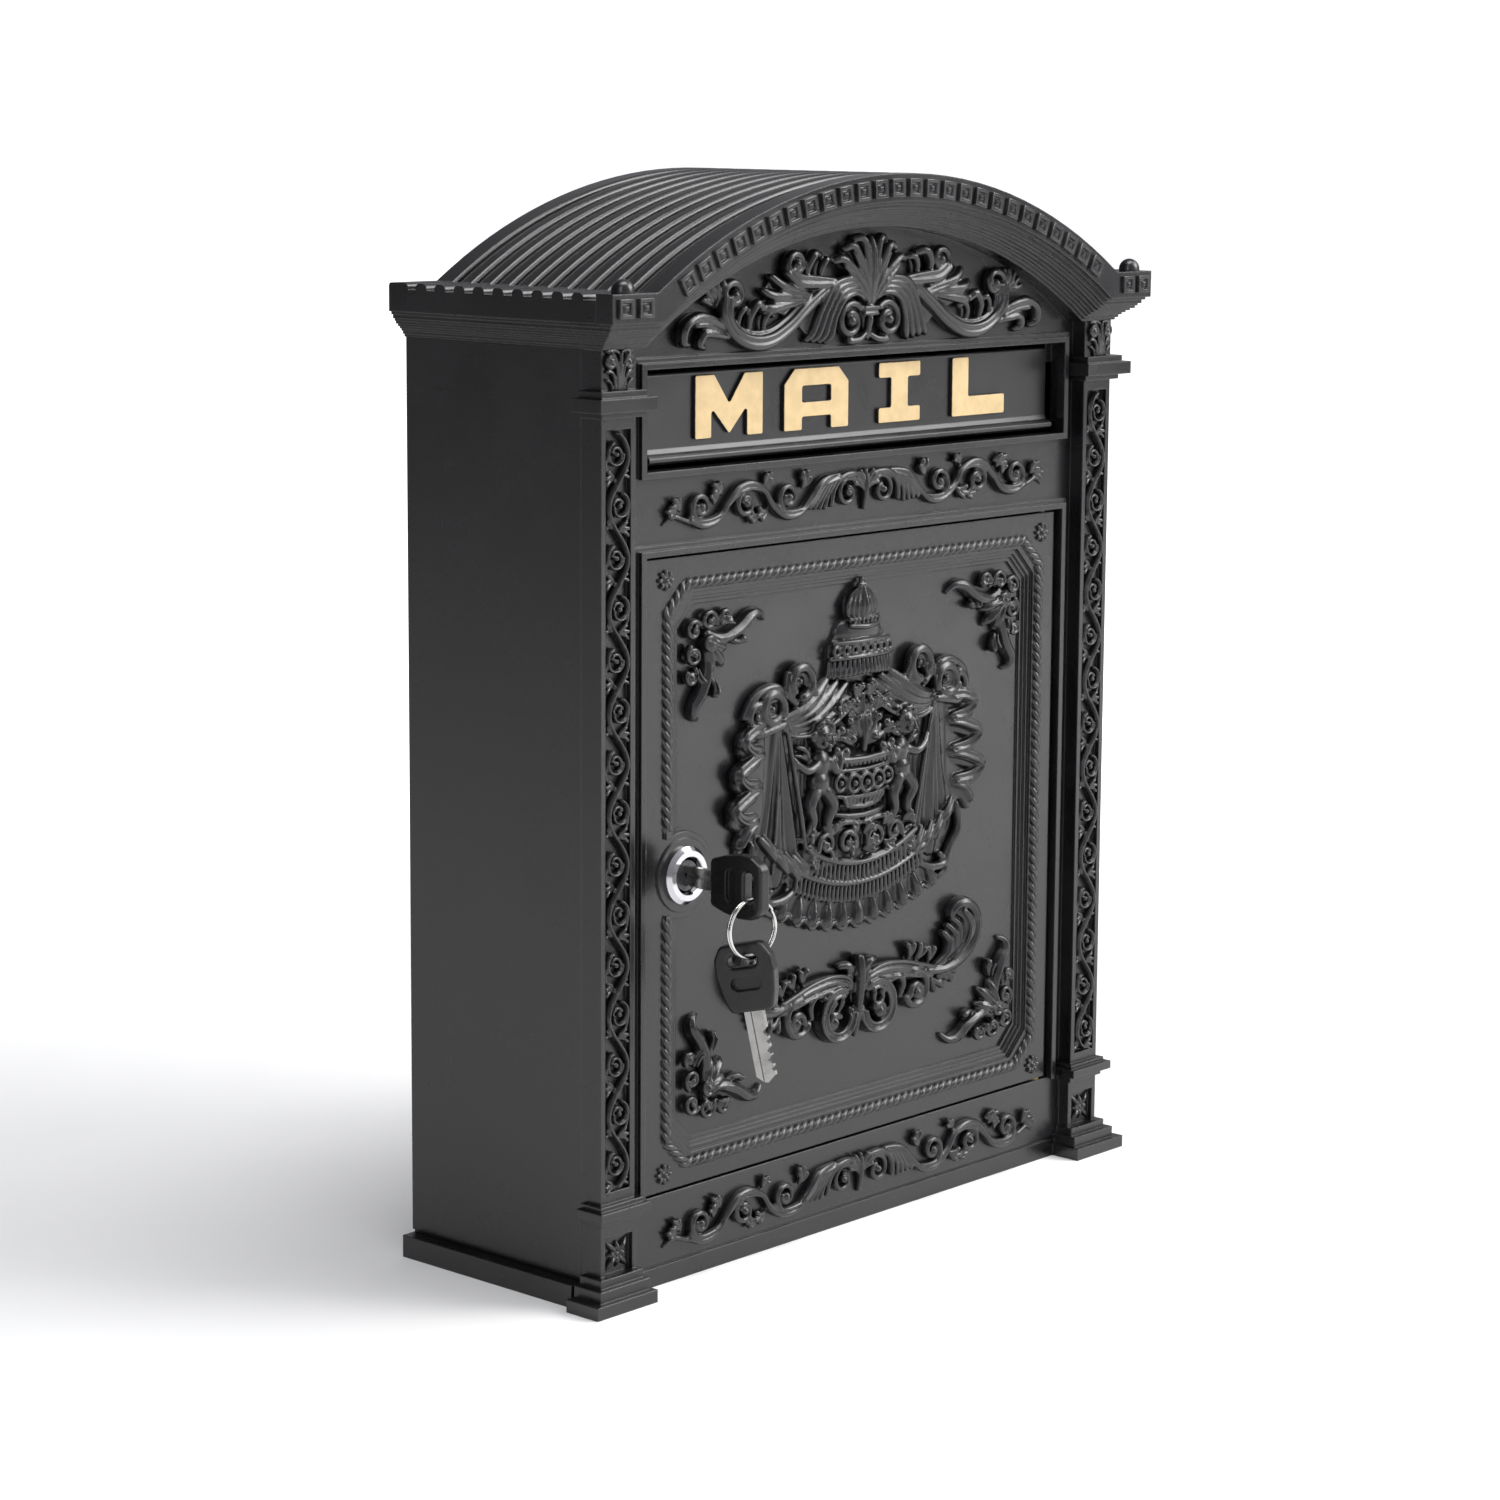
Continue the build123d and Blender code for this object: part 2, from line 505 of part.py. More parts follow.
# raised block letters, one casting each; (x, z) outlines in a unit of width and height
LETTER_H = LETTER_Z[1] - LETTER_Z[0]
BAR = 8.2                  # thickness of level strokes
STEM = 10.6                # width of upright strokes
half = LETTER_W / 2
letter_m_outline = [
    (-half, 0), (-half, LETTER_H), (-half + STEM, LETTER_H), (0, 13.0), (half - STEM, LETTER_H),
    (half, LETTER_H), (half, 0), (half - STEM + 1.5, 0), (half - STEM + 1.5, 11.5), (0, 1.2),
    (-half + STEM - 1.5, 11.5), (-half + STEM - 1.5, 0),
]
letter_l_outline = [
    (-half + 2, 0), (-half + 2, LETTER_H), (-half + 2 + STEM, LETTER_H), (-half + 2 + STEM, BAR),
    (half - 2, BAR), (half - 2, 0),
]
letter_i_outline = [
    (-13, 0), (-13, 6.2), (-STEM / 2, 6.2), (-STEM / 2, LETTER_H - 6.2), (-13, LETTER_H - 6.2),
    (-13, LETTER_H), (13, LETTER_H), (13, LETTER_H - 6.2), (STEM / 2, LETTER_H - 6.2),
    (STEM / 2, 6.2), (13, 6.2), (13, 0),
]
letter_a_outline = [
    (-half, 0), (-half, LETTER_H - 6), (-half + 6, LETTER_H), (half - 6, LETTER_H),
    (half, LETTER_H - 6), (half, 0), (half - STEM, 0), (half - STEM, 5.2),
    (-half + STEM, 5.2), (-half + STEM, 0),
]
for index, (name, outline) in enumerate((
    ("letter_m", letter_m_outline), ("letter_a", letter_a_outline),
    ("letter_i", letter_i_outline), ("letter_l", letter_l_outline),
)):
    centre = (index - 1.5) * LETTER_PITCH
    with BuildPart() as letter:
        with BuildSketch(front(FLAP_FACE)) as letter_face:
            with BuildLine():
                Polyline(*[(centre + x, LETTER_Z[0] + z) for x, z in outline], close=True)
            make_face()
            fillet(letter_face.vertices(), 0.9)
            if name == "letter_a":
                with Locations((centre, LETTER_Z[0] + 14.2)):
                    RectangleRounded(LETTER_W - 2 * STEM, 6.4, 0.9, mode=Mode.SUBTRACT)
        extrude(amount=LETTER_T)
        chamfer(letter.faces().sort_by(Axis.Y)[0].edges(), 0.25)
    save(letter, name)

# ---- cam lock ----
with BuildPart() as lock_housing:
    rod_y(*LOCK, (RIM_Y, DOOR_FACE - 0.8), RIM_R)
    rim_edge = lock_housing.edges().filter_by(GeomType.CIRCLE).sort_by(Axis.Y)[0]
    chamfer(rim_edge, 1.6)
    rod_y(*LOCK, (DOOR_FACE - 0.8, BARREL_BACK), BARREL_R)
    rod_y(*LOCK, (RIM_Y - 1.0, BARREL_BACK + 1.0), PLUG_R + RUNNING, Mode.SUBTRACT)
    with Locations(Location((LOCK[0], RIM_Y, LOCK[1]), (-90, 0, 0))):
        Cone(7.6, PLUG_R + RUNNING, 2.4, align=(Align.CENTER, Align.CENTER, Align.MIN), mode=Mode.SUBTRACT)
save(lock_housing, "lock_housing")

with BuildPart() as lock_washer:
    rod_y(*LOCK, (DOOR_BACK, DOOR_BACK + 0.8), 12.5)
    rod_y(*LOCK, (DOOR_BACK - 1.0, DOOR_BACK + 2.0), BARREL_R, Mode.SUBTRACT)
save(lock_washer, "lock_washer")

with BuildPart() as lock_nut:
    with BuildSketch(front(DOOR_BACK + 3.8)):
        with Locations(LOCK):
            RegularPolygon(12.6, 6)
            Circle(BARREL_R, mode=Mode.SUBTRACT)
    extrude(amount=3.0)
save(lock_nut, "lock_nut")

# plug with the key slot upright, so the cam hangs clear of the keeper
PLUG_FRONT = RIM_Y + 1.6
PLUG_BACK = BARREL_BACK + 0.6
with BuildPart() as lock_plug:
    rod_y(*LOCK, (PLUG_FRONT, PLUG_BACK), PLUG_R)
    block(
        (LOCK[0] - BLADE_T / 2 - 0.1, LOCK[0] + BLADE_T / 2 + 0.1), (-107.0, -88.6),
        (LOCK[1] - BLADE_W / 2 - 0.1, LOCK[1] + BLADE_W / 2 + 0.1), Mode.SUBTRACT,
    )
    chamfer(lock_plug.edges().filter_by(GeomType.CIRCLE).sort_by(Axis.Y)[-1], 0.4)
save(lock_plug, "lock_plug")

with BuildPart() as lock_cam:
    with BuildSketch(front(PLUG_BACK + 2.0)) as cam_face:
        with Locations((LOCK[0], LOCK[1] - CAM_REACH / 2 + 3.0)):
            SlotOverall(CAM_REACH + 10.0, 15.0, rotation=90)
        with Locations(LOCK):
            Circle(2.6, mode=Mode.SUBTRACT)
    extrude(amount=2.0)
save(lock_cam, "lock_cam")

with BuildPart() as cam_screw:
    rod_y(*LOCK, (PLUG_BACK, PLUG_BACK + 2.0), 2.6)
    rod_y(*LOCK, (PLUG_BACK + 2.0, PLUG_BACK + 4.2), 4.6)
    slot_x, slot_z = (LOCK[0] - 3.0, LOCK[0] + 3.0), (LOCK[1] - 0.5, LOCK[1] + 0.5)
    block(slot_x, (PLUG_BACK + 3.2, PLUG_BACK + 6.0), slot_z, Mode.SUBTRACT)
save(cam_screw, "cam_screw")

# ---- keys and ring ----
WEDGES = 5                 # cuts along the blade's one edge
TANG = 6.5


def blade_face(plane):
    """Outline of the blade in (along, across), the tip at negative along."""
    edge = BLADE_W / 2
    with BuildSketch(plane) as face:
        with BuildLine():
            Polyline(
                (-BLADE_L, -0.8), (-BLADE_L, 0.8), (-BLADE_L + 2.6, edge), (TANG, edge),
                (TANG, -edge), (-BLADE_L + 2.6, -edge), close=True,
            )
        make_face()
        for k in range(WEDGES):
            depth = 0.45 + 0.4 * (k * 2 % 3)
            with Locations((-BLADE_L + 5.0 + 3.6 * k, -edge - 1.4 + depth)):
                RegularPolygon(1.9, 4, mode=Mode.SUBTRACT)
    return face.sketch


def bow_face(plane):
    """Outline of the moulded bow in (along, across), the shoulder at zero."""
    with BuildSketch(plane) as face:
        with BuildLine():
            Polyline(
                (0, -9.0), (0, 9.0), (7, 11.2), (15, 12.5), (21, 12.1), (BOW_L, 8.8),
                (BOW_L, -8.8), (21, -12.1), (15, -12.5), (7, -11.2), close=True,
            )
        make_face()
        fillet(face.vertices().group_by(Axis.X)[0], 2.6)
        fillet(face.vertices().group_by(Axis.X)[-1], 4.0)
        with Locations((RING_SLOT_S, 0)):
            SlotOverall(12.4, 4.6, rotation=90, mode=Mode.SUBTRACT)
    return face.sketch


# mid plane of each key: x from tip to bow, z out of its broad face
key_home = Plane((LOCK[0], KEY_SHOULDER_Y, LOCK[1]), (0, -1, 0), (-1, 0, 0))
ring_centre = Vector(LOCK[0], KEY_SHOULDER_Y - RING_SLOT_S, RING_TOP_Z - RING_R)
# the spare hangs with the wire near one end of its slot and its weight under the wire
yaw, tilt = math.radians(SPARE_YAW), math.radians(SPARE_TILT)
across = Vector(math.sin(yaw), -math.cos(yaw), 0)
spare_normal = Vector(-math.cos(yaw), -math.sin(yaw), 0)
down = Vector(0, 0, -math.cos(tilt)) + across * math.sin(tilt)
along = down * -1
sideways = spare_normal.cross(along)
wire_foot = ring_centre - Vector(0, 0, RING_R)
slot_top = 2.3 - HANG_DROP
spare_origin = wire_foot + down * (RING_SLOT_S + slot_top) + sideways * SPARE_OFFSET
spare_home = Plane(spare_origin, along, spare_normal)

for blade_name, bow_name, home in (
    ("key_blade", "key_bow", key_home), ("spare_key_blade", "spare_key_bow", spare_home),
):
    with BuildPart() as blade:
        extrude(blade_face(home), amount=BLADE_T / 2, both=True)
        for face_sign in (-1, 1):
            flank = home.from_local_coords(Vector(0, 0, face_sign * BLADE_T / 2))
            with BuildSketch(Plane(flank, home.x_dir, home.z_dir)):
                with Locations((-BLADE_L / 2, 0.6 * face_sign)):
                    Rectangle(BLADE_L, 1.4)
            extrude(amount=0.5, both=True, mode=Mode.SUBTRACT)
    save(blade, blade_name)
    with BuildPart() as bow:
        extrude(bow_face(home), amount=BOW_T / 2, both=True)
        rim = bow.faces().sort_by(lambda f: home.to_local_coords(f.center()).Z)
        fillet(rim[0].edges() + rim[-1].edges(), 1.1)
        for face_sign in (-1, 1):
            cheek = home.from_local_coords(Vector(0, 0, face_sign * BOW_T / 2))
            with BuildSketch(Plane(cheek, home.x_dir, home.z_dir * face_sign)):
                with Locations((11.0, 0)):
                    SlotOverall(13.2, 5.4, rotation=90)
            extrude(amount=-1.7, mode=Mode.SUBTRACT)
        with BuildSketch(home):
            with Locations((TANG / 2 - 1.0, 0)):
                Rectangle(TANG + 2.0, BLADE_W)
        extrude(amount=BLADE_T / 2, both=True, mode=Mode.SUBTRACT)
    save(bow, bow_name)

with BuildPart() as split_ring:
    turn = math.radians(RING_YAW)
    ring_side = (math.cos(turn), math.sin(turn), 0)
    with BuildSketch(Plane(ring_centre, ring_side, (0, 0, 1))):
        with Locations((RING_R, 0)):
            RectangleRounded(1.5, 2.2, 0.5)
    revolve(axis=Axis(ring_centre, (-math.sin(turn), math.cos(turn), 0)))
save(split_ring, "split_ring")
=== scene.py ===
import math

import bpy
from bpy.props import FloatProperty, FloatVectorProperty, IntProperty, PointerProperty
from mathutils import Matrix, Vector


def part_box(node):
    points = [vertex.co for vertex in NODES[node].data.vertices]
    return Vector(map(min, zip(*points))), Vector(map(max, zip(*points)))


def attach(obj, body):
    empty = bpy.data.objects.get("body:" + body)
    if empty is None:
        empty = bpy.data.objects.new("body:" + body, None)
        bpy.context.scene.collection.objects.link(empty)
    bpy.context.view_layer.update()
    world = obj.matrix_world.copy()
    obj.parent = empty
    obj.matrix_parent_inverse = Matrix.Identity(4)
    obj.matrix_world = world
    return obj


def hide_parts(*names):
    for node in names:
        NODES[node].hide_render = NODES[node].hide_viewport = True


bl_info = {
    "name": "Wall Mailbox",
    "version": (1, 0, 0),
    "blender": (4, 5, 0),
    "location": "View3D > Sidebar > Mailbox",
    "description": "Cast wall mailbox: relief ornament, rope moulding, keys and finishes",
    "category": "Object",
}

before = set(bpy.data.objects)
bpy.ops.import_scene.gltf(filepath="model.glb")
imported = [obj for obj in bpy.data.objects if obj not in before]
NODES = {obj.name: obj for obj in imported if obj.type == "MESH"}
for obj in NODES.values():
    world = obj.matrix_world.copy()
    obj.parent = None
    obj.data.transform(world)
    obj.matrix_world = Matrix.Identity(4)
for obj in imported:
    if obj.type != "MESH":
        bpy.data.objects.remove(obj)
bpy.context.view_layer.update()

MM = 0.001

# ---- places on the castings, in millimetres ----
ARCH_CENTRE = (0.0, 179.4)
TYMPANUM_Y = -99.0
RAIL_Y = -99.0
LOWER_RAIL_Y = -100.4
FASCIA_Y = -120.1
DOOR_FIELD_Y = -96.5
DOOR_FACE_Y = -100.5
PILASTER_FLOOR_Y = -103.5
CAPITAL_Y = -105.7


# ---------------------------------------------------------------- helpers

def deselect_all():
    """Leave no object selected and no object in edit mode."""
    if bpy.context.object and bpy.context.object.mode != "OBJECT":
        bpy.ops.object.mode_set(mode="OBJECT")
    bpy.ops.object.select_all(action="DESELECT")


def only(obj):
    """Make obj the one selected and active object."""
    deselect_all()
    obj.select_set(True)
    bpy.context.view_layer.objects.active = obj
    return obj


def join(pieces, name):
    """Join meshes into one object with its origin at the scene's origin."""
    deselect_all()
    for piece in pieces:
        piece.select_set(True)
    bpy.context.view_layer.objects.active = pieces[0]
    if len(pieces) > 1:
        bpy.ops.object.join()
    whole = bpy.context.object
    whole.name = name
    whole.data.name = name
    bpy.ops.object.transform_apply(location=True, rotation=True, scale=True)
    return whole


def apply_modifiers(obj):
    """Apply every modifier of obj in order."""
    only(obj)
    for modifier in list(obj.modifiers):
        bpy.ops.object.modifier_apply(modifier=modifier.name)


def shade(obj, angle=40.0):
    """Smooth shading that keeps edges sharper than angle."""
    only(obj)
    bpy.ops.object.shade_smooth_by_angle(angle=math.radians(angle))


def fuse(obj, voxel, soften=3, keep=1.0):
    """Melt overlapping parts into one cast skin. voxel is in millimetres."""
    melt = obj.modifiers.new("Melt", "REMESH")
    melt.mode = "VOXEL"
    melt.voxel_size = voxel * MM
    soft = obj.modifiers.new("Soften", "SMOOTH")
    soft.factor = 0.5
    soft.iterations = soften
    if keep < 1.0:
        thin = obj.modifiers.new("Thin", "DECIMATE")
        thin.ratio = keep
    apply_modifiers(obj)
    only(obj)
    bpy.ops.object.shade_smooth()
    return obj


def copy_of(obj, matrix, name):
    """A copy with its own mesh, moved by matrix, with its faces kept outwards."""
    twin = obj.copy()
    twin.data = obj.data.copy()
    bpy.context.scene.collection.objects.link(twin)
    twin.data.transform(matrix)
    if matrix.determinant() < 0:
        only(twin)
        bpy.ops.object.mode_set(mode="EDIT")
        bpy.ops.mesh.select_all(action="SELECT")
        bpy.ops.mesh.flip_normals()
        bpy.ops.object.mode_set(mode="OBJECT")
    twin.name = name
    twin.data.name = name
    return twin


MIRROR_X = Matrix.Diagonal((-1.0, 1.0, 1.0, 1.0))


def dress(obj, body, material):
    """Give a new piece its body, slot and finish."""
    obj.data.materials.clear()
    obj.data.materials.append(material)
    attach(obj, body)
    return obj


# ---------------------------------------------------------------- strokes
# A stroke is a list of (x, z, radius) or (x, z, radius, lift): a round bar
# laid on a face, as a modeller lays rolls of wax.

def curve_through(points, step=1.1):
    """Points on a smooth line through the given ones, about step apart."""
    full = [tuple(p) + (0.0,) * (4 - len(p)) for p in points]
    if len(full) == 2:
        full = [full[0], tuple((a + b) / 2 for a, b in zip(*full)), full[1]]
    line = []
    for i in range(len(full) - 1):
        before = full[max(i - 1, 0)]
        here, there = full[i], full[i + 1]
        after = full[min(i + 2, len(full) - 1)]
        span = math.hypot(there[0] - here[0], there[1] - here[1])
        parts = max(2, int(span / step))
        for k in range(parts):
            t = k / parts
            line.append(tuple(
                0.5 * (2 * b + (c - a) * t + (2 * a - 5 * b + 4 * c - d) * t ** 2
                       + (3 * b - a - 3 * c + d) * t ** 3)
                for a, b, c, d in zip(before, here, there, after)
            ))
    line.append(full[-1])
    return [(x, z, max(r, 0.15), lift) for x, z, r, lift in line]


def rounded(line):
    """The line with its two ends drawn out to round tips."""
    def tip(end, inner):
        dx, dz = end[0] - inner[0], end[1] - inner[1]
        length = math.hypot(dx, dz) or 1.0
        dx, dz, r = dx / length, dz / length, end[2]
        return [(end[0] + dx * r * a, end[1] + dz * r * a, r * b, end[3])
                for a, b in ((0.5, 0.85), (0.85, 0.5))]
    return tip(line[0], line[1])[::-1] + line + tip(line[-1], line[-2])


def spiral(cx, cz, outer, inner, start, sweep, thick, thin, eye=0.0, lift=0.0):
    """A stroke that winds in to an eye. Angles in degrees, anticlockwise."""
    count = max(6, int(abs(sweep) / 20))
    line = []
    for i in range(count + 1):
        t = i / count
        angle = math.radians(start + sweep * t)
        radius = outer + (inner - outer) * t ** 0.85
        line.append((cx + radius * math.cos(angle), cz + radius * math.sin(angle),
                     thick + (thin - thick) * t, lift))
    strokes = [line]
    if eye:
        strokes.append([(cx - 0.05, cz, eye, lift + 0.3), (cx + 0.05, cz, eye, lift + 0.3)])
    return strokes


def lobe(x, z, heading, length, bend, fat, lift=0.0):
    """One leaf lobe: thin at its root, full at its curled tip."""
    points = []
    for i in range(5):
        t = i / 4
        points.append((x, z, fat * (0.55 + 0.6 * t - 0.15 * t * t), lift * (1 + 0.5 * t)))
        turn = math.radians(heading + bend * (t + 0.12) ** 1.5)
        x += math.cos(turn) * length / 4
        z += math.sin(turn) * length / 4
    return points


def fan(x, z, inner, outer, first, last, count, fat, lift=0.0):
    """Shell ribs spread round a point."""
    strokes = []
    for k in range(count):
        angle = math.radians(first + (last - first) * k / max(count - 1, 1))
        c, s = math.cos(angle), math.sin(angle)
        strokes.append([
            (x + inner * c, z + inner * s, fat * 0.45, lift * 0.4),
            (x + (inner + outer) / 2 * c, z + (inner + outer) / 2 * s, fat * 0.85, lift),
            (x + outer * c, z + outer * s, fat, lift),
        ])
    return strokes


def beads(x0, z0, x1, z1, count, radius, sag=0.0, lift=0.0):
    """A row of round beads from one point to another, hanging by sag at its middle."""
    strokes = []
    for k in range(count):
        t = k / max(count - 1, 1)
        x = x0 + (x1 - x0) * t
        z = z0 + (z1 - z0) * t - sag * (1 - (2 * t - 1) ** 2)
        strokes.append([(x - 0.05, z, radius, lift), (x + 0.05, z, radius, lift)])
    return strokes


def flipped(strokes):
    """The strokes mirrored to the other side."""
    return [[(-p[0],) + tuple(p[1:]) for p in stroke] for stroke in strokes]


def both(strokes):
    """The strokes and their mirror image."""
    return strokes + flipped(strokes)


def moved(strokes, dx, dz, turn=0.0, scale=1.0):
    """The strokes turned by degrees, scaled and shifted."""
    c, s = math.cos(math.radians(turn)) * scale, math.sin(math.radians(turn)) * scale
    out = []
    for stroke in strokes:
        out.append([(p[0] * c - p[1] * s + dx, p[0] * s + p[1] * c + dz, p[2] * scale,
                     (p[3] if len(p) > 3 else 0.0)) for p in stroke])
    return out


def lay_strokes(strokes, face_y, name, height=1.0, sunk=0.5):
    """Turn strokes into closed bars lying on the face at face_y."""
    deselect_all()
    bpy.ops.curve.primitive_nurbs_path_add(location=(0, 0, 0))
    bars = bpy.context.object
    data = bars.data
    data.splines.clear()
    data.dimensions = "3D"
    data.bevel_depth = MM
    data.bevel_resolution = 2
    data.use_fill_caps = True
    for stroke in strokes:
        line = rounded(curve_through(stroke))
        spline = data.splines.new("POLY")
        spline.points.add(len(line) - 1)
        for point, (x, z, radius, lift) in zip(spline.points, line):
            point.co = (x * MM, -lift * MM, z * MM, 1.0)
            point.radius = radius
    only(bars)
    bpy.ops.object.convert(target="MESH")
    bars = bpy.context.object
    for vertex in bars.data.vertices:
        depth = min(vertex.co.y * height, sunk * MM)
        vertex.co.y = face_y * MM + depth
    bars.name = name
    return bars


def relief(strokes, face_y, name, voxel=0.5, height=1.2, soften=3, keep=0.5, extra=()):
    """Strokes and any extra meshes on a face, melted into one casting."""
    bars = lay_strokes(strokes, face_y, name, height)
    whole = join([bars, *extra], name)
    return fuse(whole, voxel, soften, keep)


def dome(x, z, rx, ry, rz, face_y, rings=12, segments=20):
    """An ellipsoid whose centre lies on the face, for bodies and bosses."""
    deselect_all()
    bpy.ops.mesh.primitive_uv_sphere_add(
        segments=segments, ring_count=rings, radius=MM, location=(x * MM, face_y * MM, z * MM)
    )
    ball = bpy.context.object
    ball.scale = (rx, ry, rz)
    bpy.ops.object.transform_apply(location=True, rotation=True, scale=True)
    return ball


def slab(outline, face_y, thick):
    """A flat closed plate with the given (x, z) outline, standing thick off the face."""
    deselect_all()
    bpy.ops.mesh.primitive_circle_add(vertices=len(outline), fill_type="NGON")
    plate = bpy.context.object
    area = sum(a[0] * b[1] - b[0] * a[1] for a, b in zip(outline, outline[1:] + outline[:1]))
    if area < 0:
        outline = outline[::-1]
    for vertex, (x, z) in zip(plate.data.vertices, outline):
        vertex.co = (x * MM, (face_y + 0.5) * MM, z * MM)
    bpy.ops.object.mode_set(mode="EDIT")
    bpy.ops.mesh.select_all(action="SELECT")
    bpy.ops.mesh.extrude_region_move(TRANSFORM_OT_translate={"value": (0, -(thick + 0.5) * MM, 0)})
    bpy.ops.mesh.select_all(action="SELECT")
    bpy.ops.mesh.normals_make_consistent(inside=False)
    bpy.ops.object.mode_set(mode="OBJECT")
    return plate


# ---------------------------------------------------------------- settings

class MailboxFinish(bpy.types.PropertyGroup):
    """Colours and surface of the mailbox."""
    paint: FloatVectorProperty(
        name="Paint", description="Colour of the black casting paint",
        subtype="COLOR", size=3, min=0, max=1, default=(0.0062, 0.0059, 0.0068))
    letters: FloatVectorProperty(
        name="Letters", description="Colour of the letter faces",
        subtype="COLOR", size=3, min=0, max=1, default=(0.60, 0.44, 0.225))
    paint_roughness: FloatProperty(
        name="Paint Roughness", description="Gloss of the casting paint, lower is shinier",
        min=0, max=1, default=0.25, subtype="FACTOR")


class MailboxShape(bpy.types.PropertyGroup):
    """Sizes of the added ornament."""
    relief: FloatProperty(
        name="Relief", description="Height of the leaf work over its face, as a factor",
        min=0.5, max=2.0, default=1.5, subtype="FACTOR")
    rope: FloatProperty(
        name="Rope", description="Radius of the rope moulding on the door",
        min=0.0005, max=0.005, default=0.0026, subtype="DISTANCE", unit="LENGTH")
    bosses: IntProperty(
        name="Bosses", description="Square bosses along the arch", min=2, max=60, default=26)


def finish():
    return bpy.context.scene.mailbox_finish


def shape():
    return bpy.context.scene.mailbox_shape


# ---------------------------------------------------------------- shader groups

def group(name, inputs, outputs):
    """A new shader node group with float or colour sockets."""
    tree = bpy.data.node_groups.new(name, "ShaderNodeTree")
    for label, kind, default in inputs:
        socket = tree.interface.new_socket(label, in_out="INPUT", socket_type=kind)
        socket.default_value = default
    for label, kind in outputs:
        tree.interface.new_socket(label, in_out="OUTPUT", socket_type=kind)
    entry = tree.nodes.new("NodeGroupInput")
    leave = tree.nodes.new("NodeGroupOutput")
    entry.location, leave.location = (-900, 0), (700, 0)
    return tree, entry, leave


def node(tree, kind, **settings):
    """A node with its settings and, under the key inputs, its socket values."""
    new = tree.nodes.new(kind)
    values = settings.pop("inputs", {})
    for key, value in settings.items():
        setattr(new, key, value)
    for key, value in values.items():
        new.inputs[key].default_value = value
    return new


def noise(tree, vector, scale, detail=3.0, rough=0.55, distortion=0.0):
    made = node(tree, "ShaderNodeTexNoise",
                inputs={"Scale": scale, "Detail": detail, "Roughness": rough, "Distortion": distortion})
    tree.links.new(vector, made.inputs["Vector"])
    return made.outputs["Fac"]


def spread(tree, value, low, high, to_low, to_high):
    made = node(tree, "ShaderNodeMapRange", interpolation_type="SMOOTHSTEP")
    for index, number in ((1, low), (2, high), (3, to_low), (4, to_high)):
        made.inputs[index].default_value = number
    tree.links.new(value, made.inputs[0])
    return made.outputs[0]


def maths(tree, operation, a, b=None):
    made = node(tree, "ShaderNodeMath", operation=operation)
    for index, value in enumerate((a, b)):
        if value is None:
            continue
        if isinstance(value, (int, float)):
            made.inputs[index].default_value = value
        else:
            tree.links.new(value, made.inputs[index])
    return made.outputs[0]


def cast_surface_group():
    """Foundry skin: soft waves, fine orange peel and a few pits."""
    tree, entry, leave = group(
        "Cast Surface",
        [("Vector", "NodeSocketVector", (0, 0, 0)), ("Wave", "NodeSocketFloat", 1.0),
         ("Peel", "NodeSocketFloat", 1.0), ("Pits", "NodeSocketFloat", 1.0)],
        [("Height", "NodeSocketFloat"), ("Mottle", "NodeSocketFloat")],
    )
    vector = entry.outputs["Vector"]
    wave = noise(tree, vector, 55, 2)
    peel = noise(tree, vector, 900, 2, 0.5)
    grit = noise(tree, vector, 2600, 1, 0.5)
    pit_field = node(tree, "ShaderNodeTexVoronoi", inputs={"Scale": 190.0})
    tree.links.new(vector, pit_field.inputs["Vector"])
    pits = spread(tree, pit_field.outputs["Distance"], 0.0, 0.16, 1.0, 0.0)
    some = spread(tree, noise(tree, vector, 75, 1), 0.58, 0.66, 0.0, 1.0)
    pits = maths(tree, "MULTIPLY", pits, some)
    total = maths(tree, "MULTIPLY", wave, entry.outputs["Wave"])
    for way, field, socket, share in (("ADD", peel, "Peel", 0.14), ("ADD", grit, "Peel", 0.04),
                                      ("SUBTRACT", pits, "Pits", 0.25)):
        amount = maths(tree, "MULTIPLY", entry.outputs[socket], share)
        total = maths(tree, way, total, maths(tree, "MULTIPLY", field, amount))
    tree.links.new(total, leave.inputs["Height"])
    tree.links.new(noise(tree, vector, 24, 4, 0.6), leave.inputs["Mottle"])
    return tree


def edge_wear_and_shade_group():
    """Mask of worn outer edges and of dusty hollows, from how sharply the surface bends."""
    tree, entry, leave = group(
        "Edge Wear And Shade",
        [("Vector", "NodeSocketVector", (0, 0, 0)), ("Radius", "NodeSocketFloat", 0.0012)],
        [("Edge", "NodeSocketFloat"), ("Hollow", "NodeSocketFloat")],
    )
    near = node(tree, "ShaderNodeAmbientOcclusion", samples=8, inside=True)
    tree.links.new(entry.outputs["Radius"], near.inputs["Distance"])
    far = node(tree, "ShaderNodeAmbientOcclusion", samples=4, inputs={"Distance": 0.006})
    broken = noise(tree, entry.outputs["Vector"], 320, 3, 0.65)
    edge = spread(tree, near.outputs["AO"], 0.62, 0.98, 1.0, 0.0)
    edge = maths(tree, "MULTIPLY", edge, spread(tree, broken, 0.38, 0.7, 0.25, 1.0))
    # the hollow mask is used to darken paint as painted shade
    hollow = spread(tree, far.outputs["AO"], 0.25, 0.95, 1.0, 0.0)
    tree.links.new(edge, leave.inputs["Edge"])
    tree.links.new(hollow, leave.inputs["Hollow"])
    return tree


